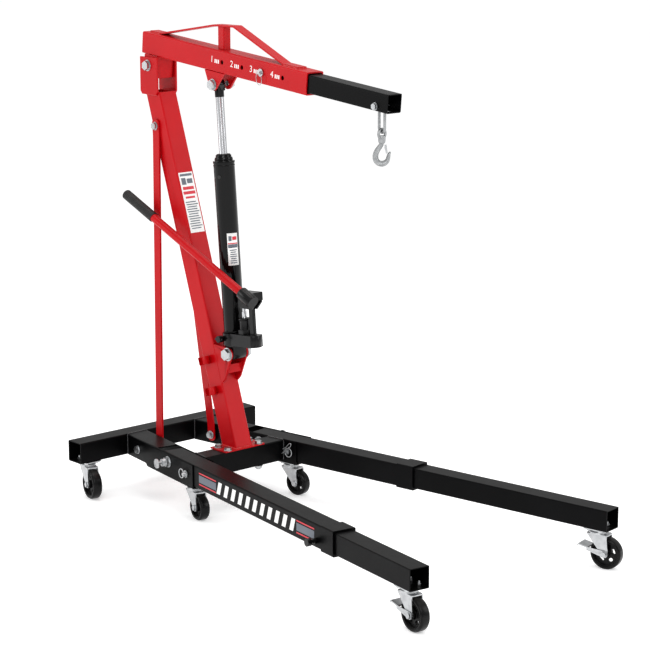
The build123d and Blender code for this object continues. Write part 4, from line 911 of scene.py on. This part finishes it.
class CRANE_OT_stage(bpy.types.Operator):
    """Pale floor, soft studio light and the camera"""
    bl_idname = "crane.stage"
    bl_label = "Set the stage"

    def execute(self, context):
        stage = context.scene.crane_stage
        floor_paint = bpy.data.materials.new("studio_floor")
        floor_paint.use_nodes = True
        shader = floor_paint.node_tree.nodes["Principled BSDF"]
        shader.inputs["Base Color"].default_value = rgb(0.95, 0.95, 0.95)
        shader.inputs["Specular IOR Level"].default_value = 0.0
        shader.inputs["Roughness"].default_value = 0.6
        shader.inputs["Emission Color"].default_value = rgb(1, 1, 1)
        shader.inputs["Emission Strength"].default_value = 0.3
        size = 70.0
        floor = mesh_object("floor", [(np.array([[-size, -size, 0], [size, -size, 0],
                                                 [size, size, 0], [-size, size, 0]]),
                                       [[0, 1, 2, 3]])], floor_paint, smooth=False)
        for name, at, aim, power, wide in (
                ("key_softbox", (3.2, -3.6, 3.6), (0, 0, 0.6), stage.light, 2.6),
                ("fill_softbox", (3.8, 2.6, 2.4), (0.2, 0, 0.6), 0.55 * stage.light, 2.4),
                ("top_softbox", (-0.5, 0.3, 4.2), (0, 0, 0.4), 0.7 * stage.light, 3.0),
                ("side_softbox", (-3.0, -3.0, 2.0), (0, 0, 0.7), 0.35 * stage.light, 2.0)):
            lamp = bpy.data.lights.new(name, "AREA")
            lamp.energy, lamp.size = power, wide
            obj = bpy.data.objects.new(name, lamp)
            context.scene.collection.objects.link(obj)
            obj.location = at
            aim_at(obj, vec(*aim) - vec(*at))
        world = bpy.data.worlds.new("studio")
        context.scene.world = world
        world.use_nodes = True
        sky = world.node_tree.nodes["Background"]
        sky.inputs["Color"].default_value = rgb(1, 1, 1)
        sky.inputs["Strength"].default_value = 0.58
        camera_data = bpy.data.cameras.new("camera")
        camera_data.lens, camera_data.sensor_width = stage.lens, 36.0
        camera = bpy.data.objects.new("camera", camera_data)
        context.scene.collection.objects.link(camera)
        camera.location = (4.356, -3.868, 1.887)
        aim_at(camera, vec(-0.7294, 0.6494, -0.2152))
        context.scene.camera = camera
        context.scene.view_settings.view_transform = "Standard"
        context.scene.view_settings.look = "Medium High Contrast"
        return {"FINISHED"}


def aim_at(obj, direction):
    """Turn an object so that its own -Z looks along a direction, with +Z upright."""
    obj.rotation_euler = Vector(direction).to_track_quat("-Z", "Y").to_euler()


class CRANE_PT_panel(bpy.types.Panel):
    """Sidebar panel with every step of the crane"""
    bl_label = "Crane"
    bl_idname = "CRANE_PT_panel"
    bl_space_type = "VIEW_3D"
    bl_region_type = "UI"
    bl_category = "Crane"

    def draw(self, context):
        scene = context.scene
        for group in (scene.crane_look, scene.crane_sizes, scene.crane_stage):
            for key in group.__annotations__:
                self.layout.prop(group, key)
        for step in STEPS:
            self.layout.operator(step.bl_idname)


STEPS = [CRANE_OT_finishes, CRANE_OT_welds, CRANE_OT_leg_decals, CRANE_OT_mast_label,
         CRANE_OT_ram_details, CRANE_OT_boom_marks, CRANE_OT_hook, CRANE_OT_grip,
         CRANE_OT_pin_clip, CRANE_OT_pin_loop, CRANE_OT_caster_details, CRANE_OT_stage]
GROUPS = {"crane_look": CraneLook, "crane_sizes": CraneSizes, "crane_stage": CraneStage}


def register():
    """Add the classes and their settings to Blender."""
    for kind in list(GROUPS.values()) + STEPS + [CRANE_PT_panel]:
        bpy.utils.register_class(kind)
    for key, kind in GROUPS.items():
        setattr(bpy.types.Scene, key, bpy.props.PointerProperty(type=kind))


def unregister():
    """Take them out again."""
    for key in GROUPS:
        delattr(bpy.types.Scene, key)
    for kind in [CRANE_PT_panel] + STEPS[::-1] + list(GROUPS.values()):
        bpy.utils.unregister_class(kind)


def main():
    """Build the whole crane in order."""
    register()
    for step in STEPS:
        family, call = step.bl_idname.split(".")
        getattr(getattr(bpy.ops, family), call)()


if __name__ == "__main__":
    main()
